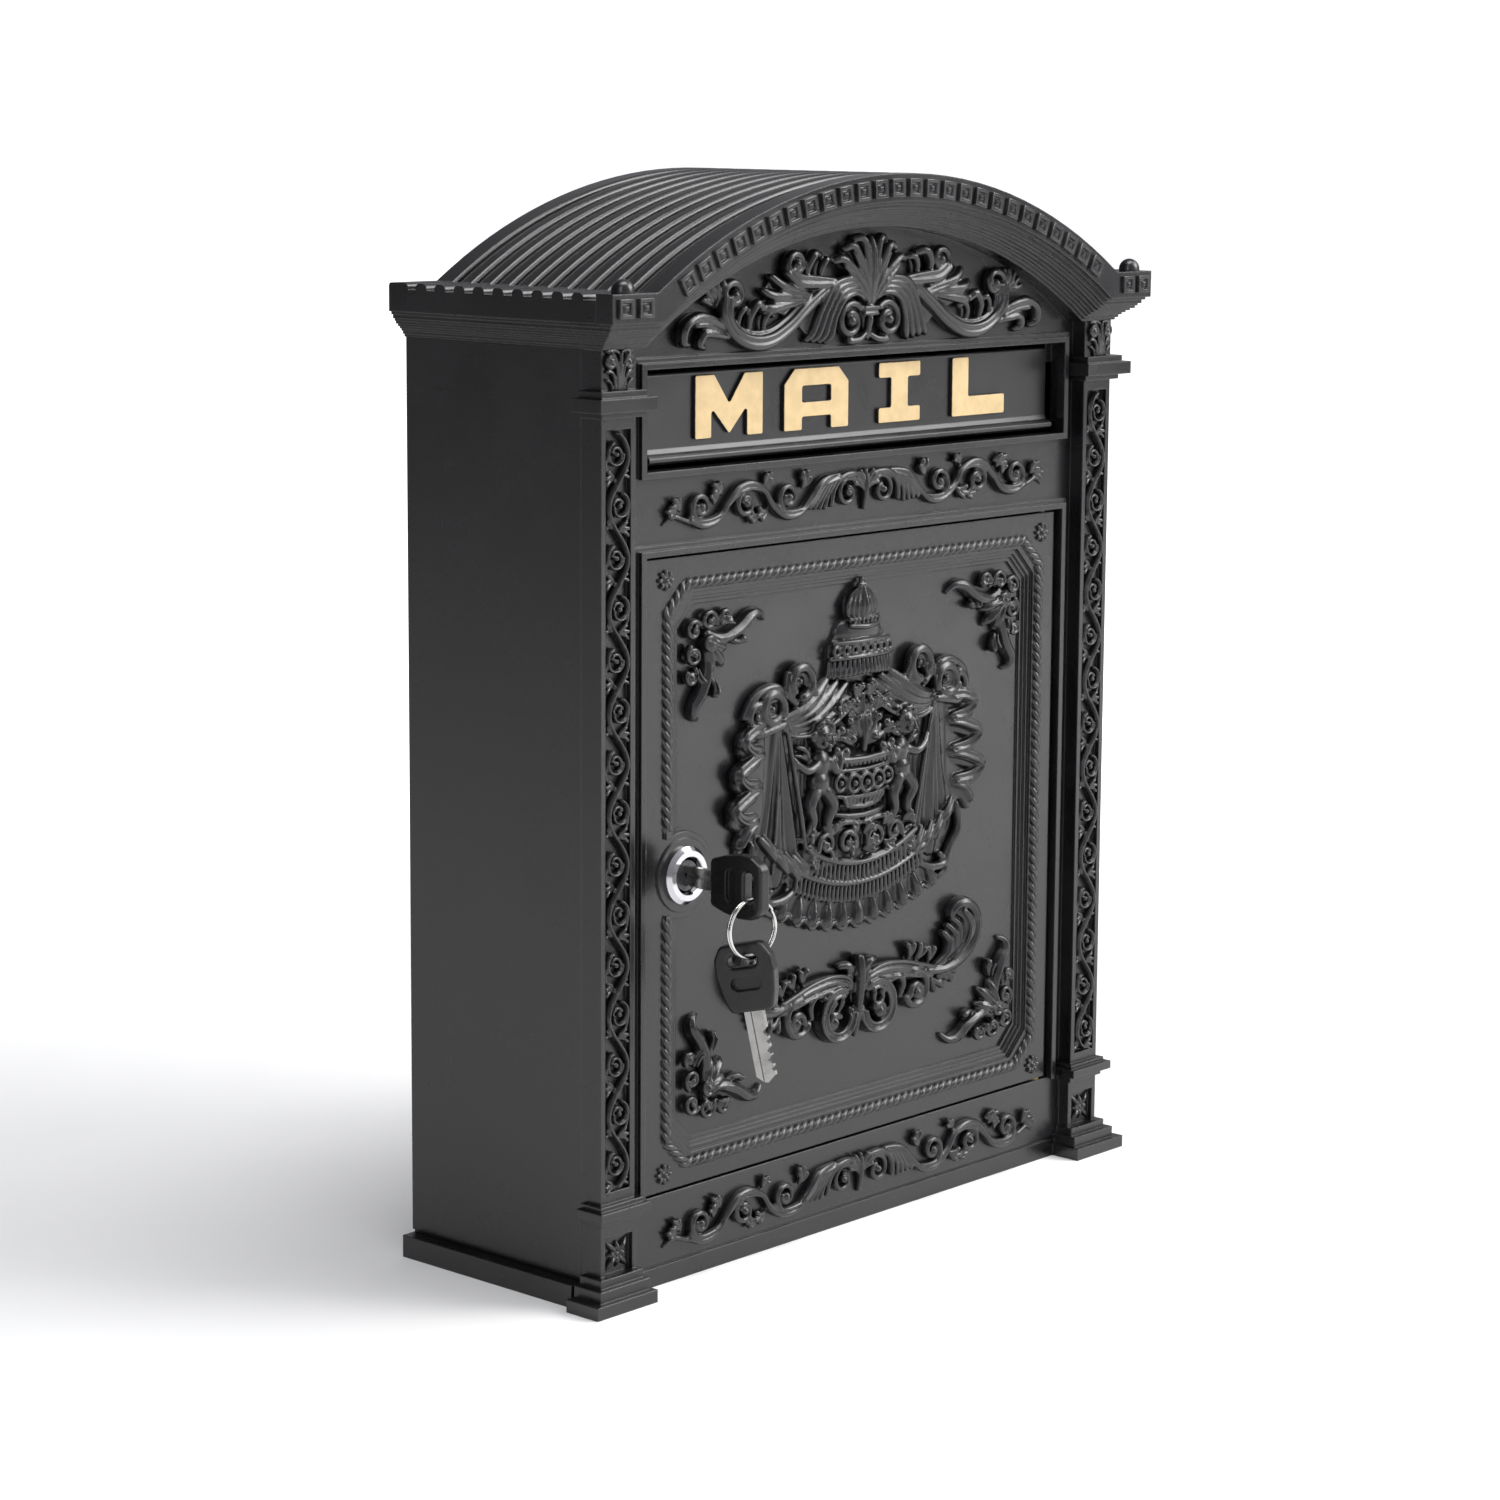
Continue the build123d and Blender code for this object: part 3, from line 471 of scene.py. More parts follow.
def fine_scratch_group():
    """Machining lines and small scratches for bare metal."""
    tree, entry, leave = group(
        "Fine Scratches",
        [("Vector", "NodeSocketVector", (0, 0, 0)), ("Stretch", "NodeSocketVector", (60, 2200, 2200))],
        [("Lines", "NodeSocketFloat"), ("Stain", "NodeSocketFloat")],
    )
    scaled = node(tree, "ShaderNodeVectorMath", operation="MULTIPLY")
    tree.links.new(entry.outputs["Vector"], scaled.inputs[0])
    tree.links.new(entry.outputs["Stretch"], scaled.inputs[1])
    tree.links.new(noise(tree, scaled.outputs[0], 1.0, 2), leave.inputs["Lines"])
    tree.links.new(noise(tree, entry.outputs["Vector"], 180, 4, 0.6), leave.inputs["Stain"])
    return tree


GROUPS = {}


def shader_group(name):
    """The named group, built once."""
    makers = {"cast": cast_surface_group, "wear_and_shade": edge_wear_and_shade_group, "scratch": fine_scratch_group}
    if name not in GROUPS:
        GROUPS[name] = makers[name]()
    return GROUPS[name]


# ---------------------------------------------------------------- materials

# grey that outer edges of the paint are lightened to: worn paint and a painted highlight
WORN_PAINT_AND_HIGHLIGHT = (0.075, 0.073, 0.076)
# painted shade inside the lock's bore
PAINTED_BORE_SHADE = (0.05, 0.05, 0.052)
LOCK_WELL_RADIUS = 0.0074


def start_material(name, **sockets):
    """A material with a Principled BSDF, whose fixed values are set on its own sockets."""
    made = bpy.data.materials.new(name)
    made.use_nodes = True
    tree = made.node_tree
    shader = tree.nodes["Principled BSDF"]
    for key, value in sockets.items():
        shader.inputs[key.replace("_", " ")].default_value = value
    place = node(tree, "ShaderNodeTexCoord")
    return made, tree, shader, place.outputs["Object"]


def placed(tree, name, vector, **values):
    made = node(tree, "ShaderNodeGroup")
    made.node_tree = shader_group(name)
    tree.links.new(vector, made.inputs["Vector"])
    for key, value in values.items():
        made.inputs[key].default_value = value
    return made


def colour_mix(tree, mask, a, b):
    """Colour a where the mask is 0 and b where it is 1."""
    made = node(tree, "ShaderNodeMix", data_type="RGBA")
    for index, value in ((6, a), (7, b)):
        if isinstance(value, tuple):
            made.inputs[index].default_value = (*value, 1.0)
        else:
            tree.links.new(value, made.inputs[index])
    tree.links.new(mask, made.inputs[0])
    return made.outputs[2]


def bump(tree, shader, height, strength, distance, edge=0.0):
    """Surface relief in the shading. edge rounds sharp arrises by that radius."""
    made = node(tree, "ShaderNodeBump", inputs={"Strength": strength, "Distance": distance})
    tree.links.new(height, made.inputs["Height"])
    if edge:
        rounding = node(tree, "ShaderNodeBevel", samples=4, inputs={"Radius": edge})
        tree.links.new(rounding.outputs["Normal"], made.inputs["Normal"])
    tree.links.new(made.outputs["Normal"], shader.inputs["Normal"])


def paint_material(name, colour, roughness, worn_and_highlight, peel=1.0, painted_hollow_shade=0.35, edge=0.0):
    """Satin black paint over cast aluminium, lighter on worn edges, dull in hollows."""
    made, tree, shader, place = start_material(name, Metallic=0.0, IOR=1.5, Specular_IOR_Level=0.6)
    cast = placed(tree, "cast", place, Peel=peel, Wave=0.3)
    wear_and_shade = placed(tree, "wear_and_shade", place)
    deep = tuple(c * 0.72 for c in colour)
    pale = tuple(min(1.0, c * 1.28) for c in colour)
    base = colour_mix(tree, spread(tree, cast.outputs["Mottle"], 0.3, 0.72, 0.0, 1.0), deep, pale)
    # painted shade: hollows are darkened towards a third of the paint colour, where shade falls
    painted_shade = maths(tree, "MULTIPLY", wear_and_shade.outputs["Hollow"], painted_hollow_shade)
    base = colour_mix(tree, painted_shade, base, tuple(c * 0.35 for c in colour))
    # outer edges are lightened towards a grey: partly worn paint, partly a painted highlight
    base = colour_mix(tree, maths(tree, "MULTIPLY", wear_and_shade.outputs["Edge"], worn_and_highlight), base, WORN_PAINT_AND_HIGHLIGHT)
    tree.links.new(base, shader.inputs["Base Color"])
    rough = spread(tree, cast.outputs["Mottle"], 0.25, 0.75, roughness - 0.05, roughness + 0.07)
    rough = maths(tree, "ADD", rough, maths(tree, "MULTIPLY", wear_and_shade.outputs["Hollow"], 0.12))
    tree.links.new(rough, shader.inputs["Roughness"])
    bump(tree, shader, cast.outputs["Height"], 0.24, 0.0005, edge)
    return made


def letter_material(colour, paint, front_y):
    """Gold paint on the faces of the letters, black paint on their sides."""
    made, tree, shader, place = start_material("letter enamel", Metallic=0.0, IOR=1.5)
    cast = placed(tree, "cast", place, Wave=0.4, Peel=0.8)
    split = node(tree, "ShaderNodeSeparateXYZ")
    tree.links.new(place, split.inputs[0])
    edge = maths(tree, "ADD", split.outputs["Y"], maths(tree, "MULTIPLY", noise(tree, place, 420, 3), 0.0003))
    face = spread(tree, edge, front_y + 0.00022, front_y + 0.00034, 1.0, 0.0)
    gold = colour_mix(tree, spread(tree, noise(tree, place, 160, 4), 0.3, 0.7, 0.0, 1.0),
                      tuple(c * 0.9 for c in colour), tuple(min(1.0, c * 1.07) for c in colour))
    tree.links.new(colour_mix(tree, face, paint, gold), shader.inputs["Base Color"])
    tree.links.new(spread(tree, cast.outputs["Mottle"], 0.3, 0.7, 0.40, 0.55), shader.inputs["Roughness"])
    bump(tree, shader, cast.outputs["Height"], 0.15, 0.0004)
    return made


def metal_material(name, colour, roughness, stain, stretch, scratch=0.2, well=None):
    """Bare or plated metal with machining lines and faint stains.

    well is a bore to darken, given as (x, z, radius) in metres.
    """
    made, tree, shader, place = start_material(name, Metallic=1.0)
    lines = placed(tree, "scratch", place, Stretch=stretch)
    dark = tuple(c * 0.72 for c in colour)
    mask = spread(tree, lines.outputs["Stain"], 0.45, 0.75, 0.0, stain)
    base = colour_mix(tree, mask, colour, dark)
    if well:
        x, z, radius = well
        off = node(tree, "ShaderNodeVectorMath", operation="SUBTRACT")
        tree.links.new(place, off.inputs[0])
        off.inputs[1].default_value = (x, 0.0, z)
        flat = node(tree, "ShaderNodeVectorMath", operation="MULTIPLY")
        tree.links.new(off.outputs[0], flat.inputs[0])
        flat.inputs[1].default_value = (1.0, 0.0, 1.0)
        size = node(tree, "ShaderNodeVectorMath", operation="LENGTH")
        tree.links.new(flat.outputs[0], size.inputs[0])
        # painted shade: inside the bore's radius the chrome is darkened
        inside = spread(tree, size.outputs["Value"], radius - 0.0002, radius + 0.0002, 1.0, 0.0)
        base = colour_mix(tree, inside, base, PAINTED_BORE_SHADE)
    tree.links.new(base, shader.inputs["Base Color"])
    rough = spread(tree, lines.outputs["Stain"], 0.3, 0.8, roughness * 0.8, roughness * 1.5)
    tree.links.new(rough, shader.inputs["Roughness"])
    bump(tree, shader, lines.outputs["Lines"], scratch, 0.00006)
    return made


def plastic_material():
    """Moulded black key head with a fine spark texture and rubbed rim."""
    made, tree, shader, place = start_material("key plastic", Metallic=0.0, IOR=1.47)
    wear_and_shade = placed(tree, "wear_and_shade", place, Radius=0.0007)
    grain = noise(tree, place, 2400, 2, 0.6)
    base = colour_mix(tree, spread(tree, noise(tree, place, 120, 3), 0.3, 0.7, 0.0, 1.0),
                      (0.004, 0.004, 0.0045), (0.007, 0.0068, 0.0072))
    base = colour_mix(tree, maths(tree, "MULTIPLY", wear_and_shade.outputs["Edge"], 0.3), base, (0.04, 0.04, 0.04))
    tree.links.new(base, shader.inputs["Base Color"])
    tree.links.new(spread(tree, grain, 0.3, 0.7, 0.26, 0.38), shader.inputs["Roughness"])
    bump(tree, shader, grain, 0.25, 0.00008, 0.0008)
    return made


MATERIALS = {}


def material(name):
    """The named finish."""
    return MATERIALS[name]


# ---------------------------------------------------------------- ornament designs
# Strokes in millimetres, drawn as (x, z) seen from the front. arch_webs gives meshes.

def arch_leafwork():
    """Palmette, two volutes and leaf branches under the arch."""
    half = []
    # palmette leaves: a thick rim to each hooked tip and fine ridges between
    for tip_x, tip_z, hook_x, hook_z in ((4.6, 403.0, 8.6, 404.0), (10.4, 400.6, 15.2, 400.2),
                                         (16.0, 395.6, 20.8, 395.6)):
        half.append([(0.8, 377, 1.0, 2.0), (tip_x * 0.3, 377 + (tip_z - 377) * 0.5, 1.5, 2.6),
                     (tip_x, tip_z, 2.1, 2.4), (hook_x, hook_z, 1.9, 1.6)])
        half.append([(0.8, 378, 0.7, 2.6), (tip_x * 0.5, 379 + (tip_z - 380) * 0.46, 0.8, 3.4),
                     (tip_x * 1.02, tip_z - 2.6, 0.9, 3.2)])
    # lower volutes with a deep eye
    half += spiral(11.4, 371.6, 7.6, 3.0, 140, -430, 1.7, 1.5, 2.3, 1.8)
    half += spiral(11.4, 371.6, 5.2, 3.4, 120, -250, 0.9, 0.8, 0, 0.8)
    half.append([(1.2, 366.2, 1.3, 1.0), (5.4, 364.0, 1.6, 1.4), (11.4, 363.6, 1.6, 1.4)])
    # ridges that spring over the volutes and fall beside them
    for k in range(4):
        half.append([
            (1.6, 378.4 + 1.1 * k, 0.9, 1.6), (8.4 + 0.6 * k, 382.4 + 1.9 * k, 1.2, 2.8),
            (16.6 + 1.9 * k, 380.6 + 2.0 * k, 1.35, 3.0), (21.2 + 2.7 * k, 373.6 + 1.2 * k, 1.4, 2.4),
            (22.8 + 3.7 * k, 366.4 + 0.5 * k, 1.7, 1.6), (24.6 + 3.9 * k, 363.8 + 0.4 * k, 1.3, 0.8)])
    # main branch: a broad leaf stem that runs along the sill and curls up
    for offset, fat, lift in ((0.0, 2.2, 1.6), (2.7, 1.5, 2.2), (5.0, 1.1, 1.4)):
        half.append([(14, 386.6 + 0.2 * offset, 1.1, 1.8), (26, 384.2 + 0.5 * offset, fat, lift),
                     (38, 376.6 + 0.9 * offset, fat, lift), (48, 369.4 + offset, fat, lift),
                     (59, 364.6 + offset, fat, lift), (70, 364.4 + offset, fat, lift),
                     (79.6 - 0.4 * offset, 368.6 + 0.8 * offset, fat, lift),
                     (85.6 - offset, 376.2 + 0.1 * offset, fat, lift + 0.4),
                     (85.2 - offset, 383.6 - 0.3 * offset, fat * 0.95, lift + 0.4)])
    half += spiral(79.6, 383.8, 6.0, 2.4, 5, 330, 2.0, 1.5, 2.3, 1.8)
    # commas that rise from the branch
    for x, z, size in ((59.0, 369.6, 0.8), (66.0, 370.0, 1.15), (73.4, 371.6, 0.8)):
        half.append([(x + 3.4 * size, z - 1.0, 0.9, 1.2), (x + 3.8 * size, z + 4.6 * size, 1.5 * size, 1.8),
                     (x + 0.6 * size, z + 9.0 * size, 1.9 * size, 2.0),
                     (x - 2.6 * size, z + 7.2 * size, 1.7 * size, 1.4)])
    # upper branch and its volute
    for offset, fat, lift in ((0.0, 2.0, 2.0), (2.6, 1.3, 2.4)):
        half.append([(10, 384 + offset, 1.0, 2.0), (22, 386.4 + 0.6 * offset, fat, lift),
                     (33, 386.6 + offset, fat, lift), (42.6 - 0.3 * offset, 387.4 + offset, fat, lift),
                     (49.2 - offset, 391.4 + 0.4 * offset, fat, lift)])
    half += spiral(44.0, 394.6, 5.6, 2.2, -35, 360, 1.9, 1.5, 2.2, 1.8)
    for x, z, size in ((25.4, 389.0, 0.85), (32.4, 389.0, 1.1)):
        half.append([(x + 4.4 * size, z - 1.0, 1.0, 1.4), (x + 4.6 * size, z + 4.0 * size, 1.6 * size, 2.0),
                     (x + 1.8 * size, z + 8.6 * size, 2.0 * size, 2.2),
                     (x - 2.0 * size, z + 8.2 * size, 1.7 * size, 1.4)])
    # flared leaf between the volutes
    for tip_x, tip_z, hook_x, hook_z in ((53.0, 387.0, 57.6, 390.2), (57.6, 383.0, 62.2, 385.0),
                                         (58.0, 378.4, 62.4, 378.6)):
        half.append([(32, 381.6, 1.1, 1.4), (44, (381 + tip_z) / 2 + 0.6, 1.6, 2.0), (tip_x, tip_z, 2.0, 2.2),
                     (hook_x, hook_z, 1.7, 1.4)])
        half.append([(36, 381.0, 0.7, 2.4), (46, (380 + tip_z) / 2, 0.8, 3.0),
                     (tip_x, tip_z - 1.6, 0.8, 3.0)])
    # small shell and hooked end
    half += fan(86.8, 378.6, 2.0, 10.6, 96, 22, 5, 1.35, 1.8)
    half.append([(84, 371.6, 1.4, 1.4), (92, 375.0, 1.9, 2.0), (100.6, 376.2, 2.2, 2.2),
                 (107.0, 372.8, 2.4, 2.0), (107.4, 367.4, 2.2, 1.4), (104.2, 366.0, 1.6, 1.0)])
    half.append([(86, 370.2, 1.0, 2.0), (94, 372.8, 1.3, 2.4), (101.0, 373.2, 1.3, 2.6)])
    half.append([(82, 368.0, 1.4, 1.0), (89.6, 369.4, 1.9, 1.8), (96.0, 369.8, 2.0, 1.8),
                 (98.0, 365.8, 1.9, 1.2), (94.8, 364.4, 1.4, 0.8)])
    middle = [[(0, 375, 1.1, 2.0), (0, 388, 1.5, 3.0), (0, 400, 1.8, 2.8), (0, 404.0, 1.6, 2.0)],
              [(-4.2, 376.6, 1.0, 3.0), (4.2, 376.6, 1.0, 3.0)],
              [(-3.8, 374.2, 0.9, 2.8), (3.8, 374.2, 0.9, 2.8)], [(0, 364.6, 1.2, 1.0), (0, 372, 1.6, 2.2)]]
    return middle + both(half)


def arch_webs(face_y):
    """Thin leaf blades behind the ridges of the arch ornament."""
    parts = [slab([(-21, 395), (-9, 388), (-4, 377), (4, 377), (9, 388), (21, 395), (15, 400.6), (8, 404),
                   (0, 401), (-8, 404), (-15, 400.6)], face_y, 1.6)]
    for side in (-1, 1):
        parts.append(slab([(side * x, z) for x, z in (
            (2, 379), (12, 386), (28, 389), (44, 388), (58, 388.6), (62, 384), (60, 377.6), (50, 375.4),
            (44, 373.6), (36, 367), (24, 366), (20, 377), (9, 382))], face_y, 1.5))
    return parts


def frieze_leafwork():
    """Running scrolls for a rail, centred on zero, 232 wide and 16 high."""
    half = []
    # palmette over the middle
    for angle, length in ((80, 8.6), (60, 8.2), (38, 7.2)):
        half.append(lobe(0.4, 0.0, angle, length, -34, 1.0, 1.0))
    # inner volute and the flutes that fall beside it
    half += spiral(10.8, -0.4, 6.6, 2.4, 150, -400, 1.35, 1.1, 1.7, 0.8)
    half.append([(1.4, 5.2, 0.9, 0.8), (7.4, 7.2, 1.2, 1.2), (14.6, 6.4, 1.3, 1.2), (19.4, 1.6, 1.3, 1.0),
                 (20.6, -4.6, 1.2, 0.8)])
    for k in range(4):
        half.append([(8 + 2.4 * k, 7.4 - 0.2 * k, 0.7, 0.8), (17.6 + 2.5 * k, 5.6 - 0.6 * k, 0.9, 1.3),
                     (22.6 + 2.5 * k, 0.4 - 0.6 * k, 1.0, 1.2), (24.2 + 3.0 * k, -5.4 + 0.2 * k, 1.1, 0.7)])
    # a stem that swings under and over, with a volute in each bend
    for offset, fat, lift in ((0.0, 1.6, 0.9), (1.9, 1.0, 1.3)):
        half.append([(16, 7.4 - offset, 0.8, 0.8), (26, 5.4 - offset, fat, lift),
                     (33.4 - 0.3 * offset, -1.6 - 0.5 * offset, fat, lift),
                     (40, -6.6 + 0.8 * offset, fat, lift), (48, -7.0 + offset, fat, lift),
                     (55.4, -2.6 + 0.6 * offset, fat, lift), (60.4, 3.8 - 0.2 * offset, fat, lift),
                     (67.4, 7.2 - offset, fat, lift), (75, 6.2 - offset, fat, lift),
                     (81.4, 0.4 - 0.4 * offset, fat, lift), (87.4, -5.6 + 0.8 * offset, fat, lift),
                     (95.4, -7.2 + offset, fat, lift), (102.4, -4.6 + 0.7 * offset, fat * 0.95, lift)])
    half.append([(98.4, -6.8, 1.1, 0.8), (105.6, -4.2, 1.1, 0.8), (111.0, -2.8, 0.95, 0.6),
                 (116, -5.6, 0.5, 0.2)])
    for x, z, start, sweep in ((46.4, 0.4, -60, 430), (71.0, -0.4, 100, -430), (96.4, 0.2, -70, 440)):
        half += spiral(x, z, 5.7, 2.1, start, sweep, 1.5, 1.15, 1.8, 0.9)
    # leaves that fill the bends
    for x, z, heading, bend, size in (
        (37.6, 3.6, 130, -70, 1.0), (58.4, -3.4, -40, 70, 1.0), (63.6, -5.6, -20, 60, 0.85),
        (84.4, 4.0, 62, -80, 1.0), (60.0, 6.2, 110, 60, 0.8), (82.6, 6.4, 20, -60, 0.8),
        (107.6, -0.6, 66, -60, 0.9), (109.6, -1.4, 24, -50, 0.8), (34.6, 6.0, 30, 60, 0.8),
        (88.6, 0.6, 100, -70, 0.7)):
        for turn in (-26, 0, 26):
            half.append(lobe(x, z, heading + turn, (6.6 - abs(turn) * 0.05) * size, bend * 0.7,
                             1.2 * size, 0.8))
    middle = [[(0, -7.4, 0.8, 0.6), (0, 0, 1.3, 1.2), (0, 7.8, 1.1, 1.0)]]
    return middle + both(half)


VINE_PITCH = 19.2
VINE_SWING = 5.0


def pilaster_leafwork(low, high, middle_x):
    """A vine that climbs a narrow panel, with a volute in every bend."""
    strokes = []
    count = int(round((high - low) / VINE_PITCH))
    pitch = (high - low) / count
    for fat, lift in ((1.0, 0.8), (0.45, 1.9)):
        stem = []
        for k in range(count * 6 + 1):
            z = low + (high - low) * k / (count * 6)
            across = math.sin(math.pi * (z - low) / pitch)
            stem.append((middle_x + VINE_SWING * across, min(max(z, low + 1.2), high - 1.2), fat, lift))
        strokes.append(stem)
    for k in range(count):
        side = 1 if k % 2 == 0 else -1
        z = low + pitch * (k + 0.5)
        x = middle_x - 0.9 * side
        strokes += spiral(x, z + 0.6, 5.0, 2.2, 90 + 90 * side - 70 * side, 400 * side, 0.85, 0.75, 1.15, 0.8)
        strokes += spiral(x, z + 0.6, 5.0, 3.4, 90 + 90 * side - 70 * side, 250 * side, 0.4, 0.4, 0, 1.8)
        away = -side
        for turn in (-30, 0, 30):
            strokes.append(lobe(middle_x + 1.0 * away, z - pitch * 0.46, 90 - 60 * away + turn, 5.0,
                                -50 * away, 0.85, 0.6))
        for turn in (-24, 12):
            strokes.append(lobe(middle_x - 2.0 * away, z - pitch * 0.40, 90 + 52 * away + turn, 4.0,
                                50 * away, 0.8, 0.5))
        strokes.append([(middle_x + 5.6 * away, z - 5.0, 0.8, 0.4),
                        (middle_x + 6.0 * away, z - 1.8, 0.95, 0.5),
                        (middle_x + 5.2 * away, z + 1.0, 0.7, 0.4)])
    return strokes


def capital_leafwork(middle_x):
    """Fluted stems that open into two volutes."""
    half = spiral(4.6, 361.6, 2.9, 1.0, 120, -420, 0.85, 0.7, 1.0, 0.8)
    half.append([(0.9, 351.4, 0.6, 0.6), (1.3, 357.0, 0.75, 0.9), (2.6, 362.6, 0.8, 1.0),
                 (4.6, 364.9, 0.85, 0.9)])
    half.append([(2.3, 351.4, 0.6, 0.5), (2.8, 355.4, 0.7, 0.7), (4.0, 357.8, 0.75, 0.7),
                 (6.4, 358.2, 0.7, 0.5)])
    half.append([(3.9, 351.4, 0.6, 0.4), (4.5, 353.8, 0.7, 0.5), (6.4, 355.2, 0.75, 0.4)])
    half.append([(0.6, 365.0, 0.7, 0.6), (3.0, 366.2, 0.8, 0.6), (6.6, 365.8, 0.7, 0.5)])
    strokes = both(half) + [[(0, 351.4, 0.6, 0.6), (0, 358, 0.7, 1.0), (0, 364.6, 1.0, 1.0)]]
    return moved(strokes, middle_x, 0)


def star_leafwork(middle_x, middle_z):
    """Eight-rayed star: long petals to the corners, short ones between."""
    strokes = []
    for k in range(8):
        angle = math.radians(45 * k)
        reach = 5.2 if k % 2 == 0 else 8.0
        c, s = math.cos(angle), math.sin(angle)
        strokes.append([
            (middle_x + 0.9 * c, middle_z + 0.9 * s, 0.5, 0.4),
            (middle_x + reach * 0.55 * c, middle_z + reach * 0.55 * s, 1.25, 0.5),
            (middle_x + reach * c, middle_z + reach * s, 0.3, 0.2)])
    strokes.append([(middle_x - 0.1, middle_z, 0.9, 0.6), (middle_x + 0.1, middle_z, 0.9, 0.6)])
    return strokes


def rosette_leafwork():
    """Eight round petals about a bead."""
    strokes = fan(0, 0, 1.4, 3.3, 0, 315, 8, 0.95, 0.4)
    strokes.append([(-0.1, 0, 1.1, 0.8), (0.1, 0, 1.1, 0.8)])
    return strokes


def corner_leafwork():
    """Spray for the upper right corner of the door's field."""
    strokes = []
    # long leaf along the top and along the side, each with a sharp ridge
    strokes.append([(90, 254, 1.8, 0.6), (82, 251.6, 2.6, 0.8), (73, 254.4, 3.0, 0.8), (66, 258.8, 2.7, 0.8),
                    (60.4, 259.4, 2.0, 0.6), (56.8, 256.8, 1.2, 0.2)])
    strokes.append([(85, 251.6, 0.8, 2.4), (75, 253.0, 0.9, 2.9), (67.0, 257.6, 0.8, 2.6),
                    (60.6, 259.0, 0.6, 1.6)])
    strokes.append([(92, 250, 1.8, 0.6), (90.6, 241, 2.6, 0.8), (93.6, 232, 3.0, 0.8),
                    (97.8, 226.2, 2.6, 0.8), (97.6, 222.4, 1.9, 0.6), (94.6, 221.0, 1.2, 0.2)])
    strokes.append([(89.8, 244, 0.8, 2.4), (91.6, 236, 0.9, 2.9), (95.6, 228.6, 0.8, 2.6),
                    (97.4, 223.6, 0.6, 1.6)])
    # rings by the corner
    for x, z, start, sweep, size in ((89.6, 259.0, 200, -400, 4.2), (80.0, 259.6, -30, 400, 3.4),
                                     (98.0, 246.4, 60, -400, 4.0), (98.2, 256.0, 150, -380, 4.0),
                                     (99.4, 237.8, 40, -360, 3.0)):
        strokes += spiral(x, z, size, size * 0.45, start, sweep, 1.15, 0.9, 1.3, 1.6)
    # three broad lobes that open towards the middle of the door, each with a ridge
    for heading, length in ((196, 13.0), (222, 15.0), (250, 13.0)):
        c, s = math.cos(math.radians(heading)), math.sin(math.radians(heading))
        strokes.append([(92, 251, 1.8, 1.2), (92 + c * length * 0.5, 251 + s * length * 0.5, 2.9, 0.8),
                        (92 + c * length * 0.85, 251 + s * length * 0.85, 2.4, 0.6),
                        (92 + c * length, 251 + s * length, 1.2, 0.4)])
        strokes.append([(92, 251, 0.8, 3.0), (92 + c * length * 0.5, 251 + s * length * 0.5, 0.8, 3.1),
                        (92 + c * length * 0.9, 251 + s * length * 0.9, 0.6, 2.0)])
    strokes += spiral(90.8, 250.6, 2.6, 2.6, 0, 360, 0.9, 0.9, 1.4, 3.0)
    for x, z, heading, bend in ((84, 257, 150, 50), (96.4, 241, 262, -50), (76.5, 250, 200, -60),
                                (87.4, 236.0, 236, 60)):
        strokes.append(lobe(x, z, heading, 6.4, bend, 1.7, 1.0))
        strokes.append(lobe(x, z, heading + 6, 5.4, bend, 0.6, 2.6))
    return strokes


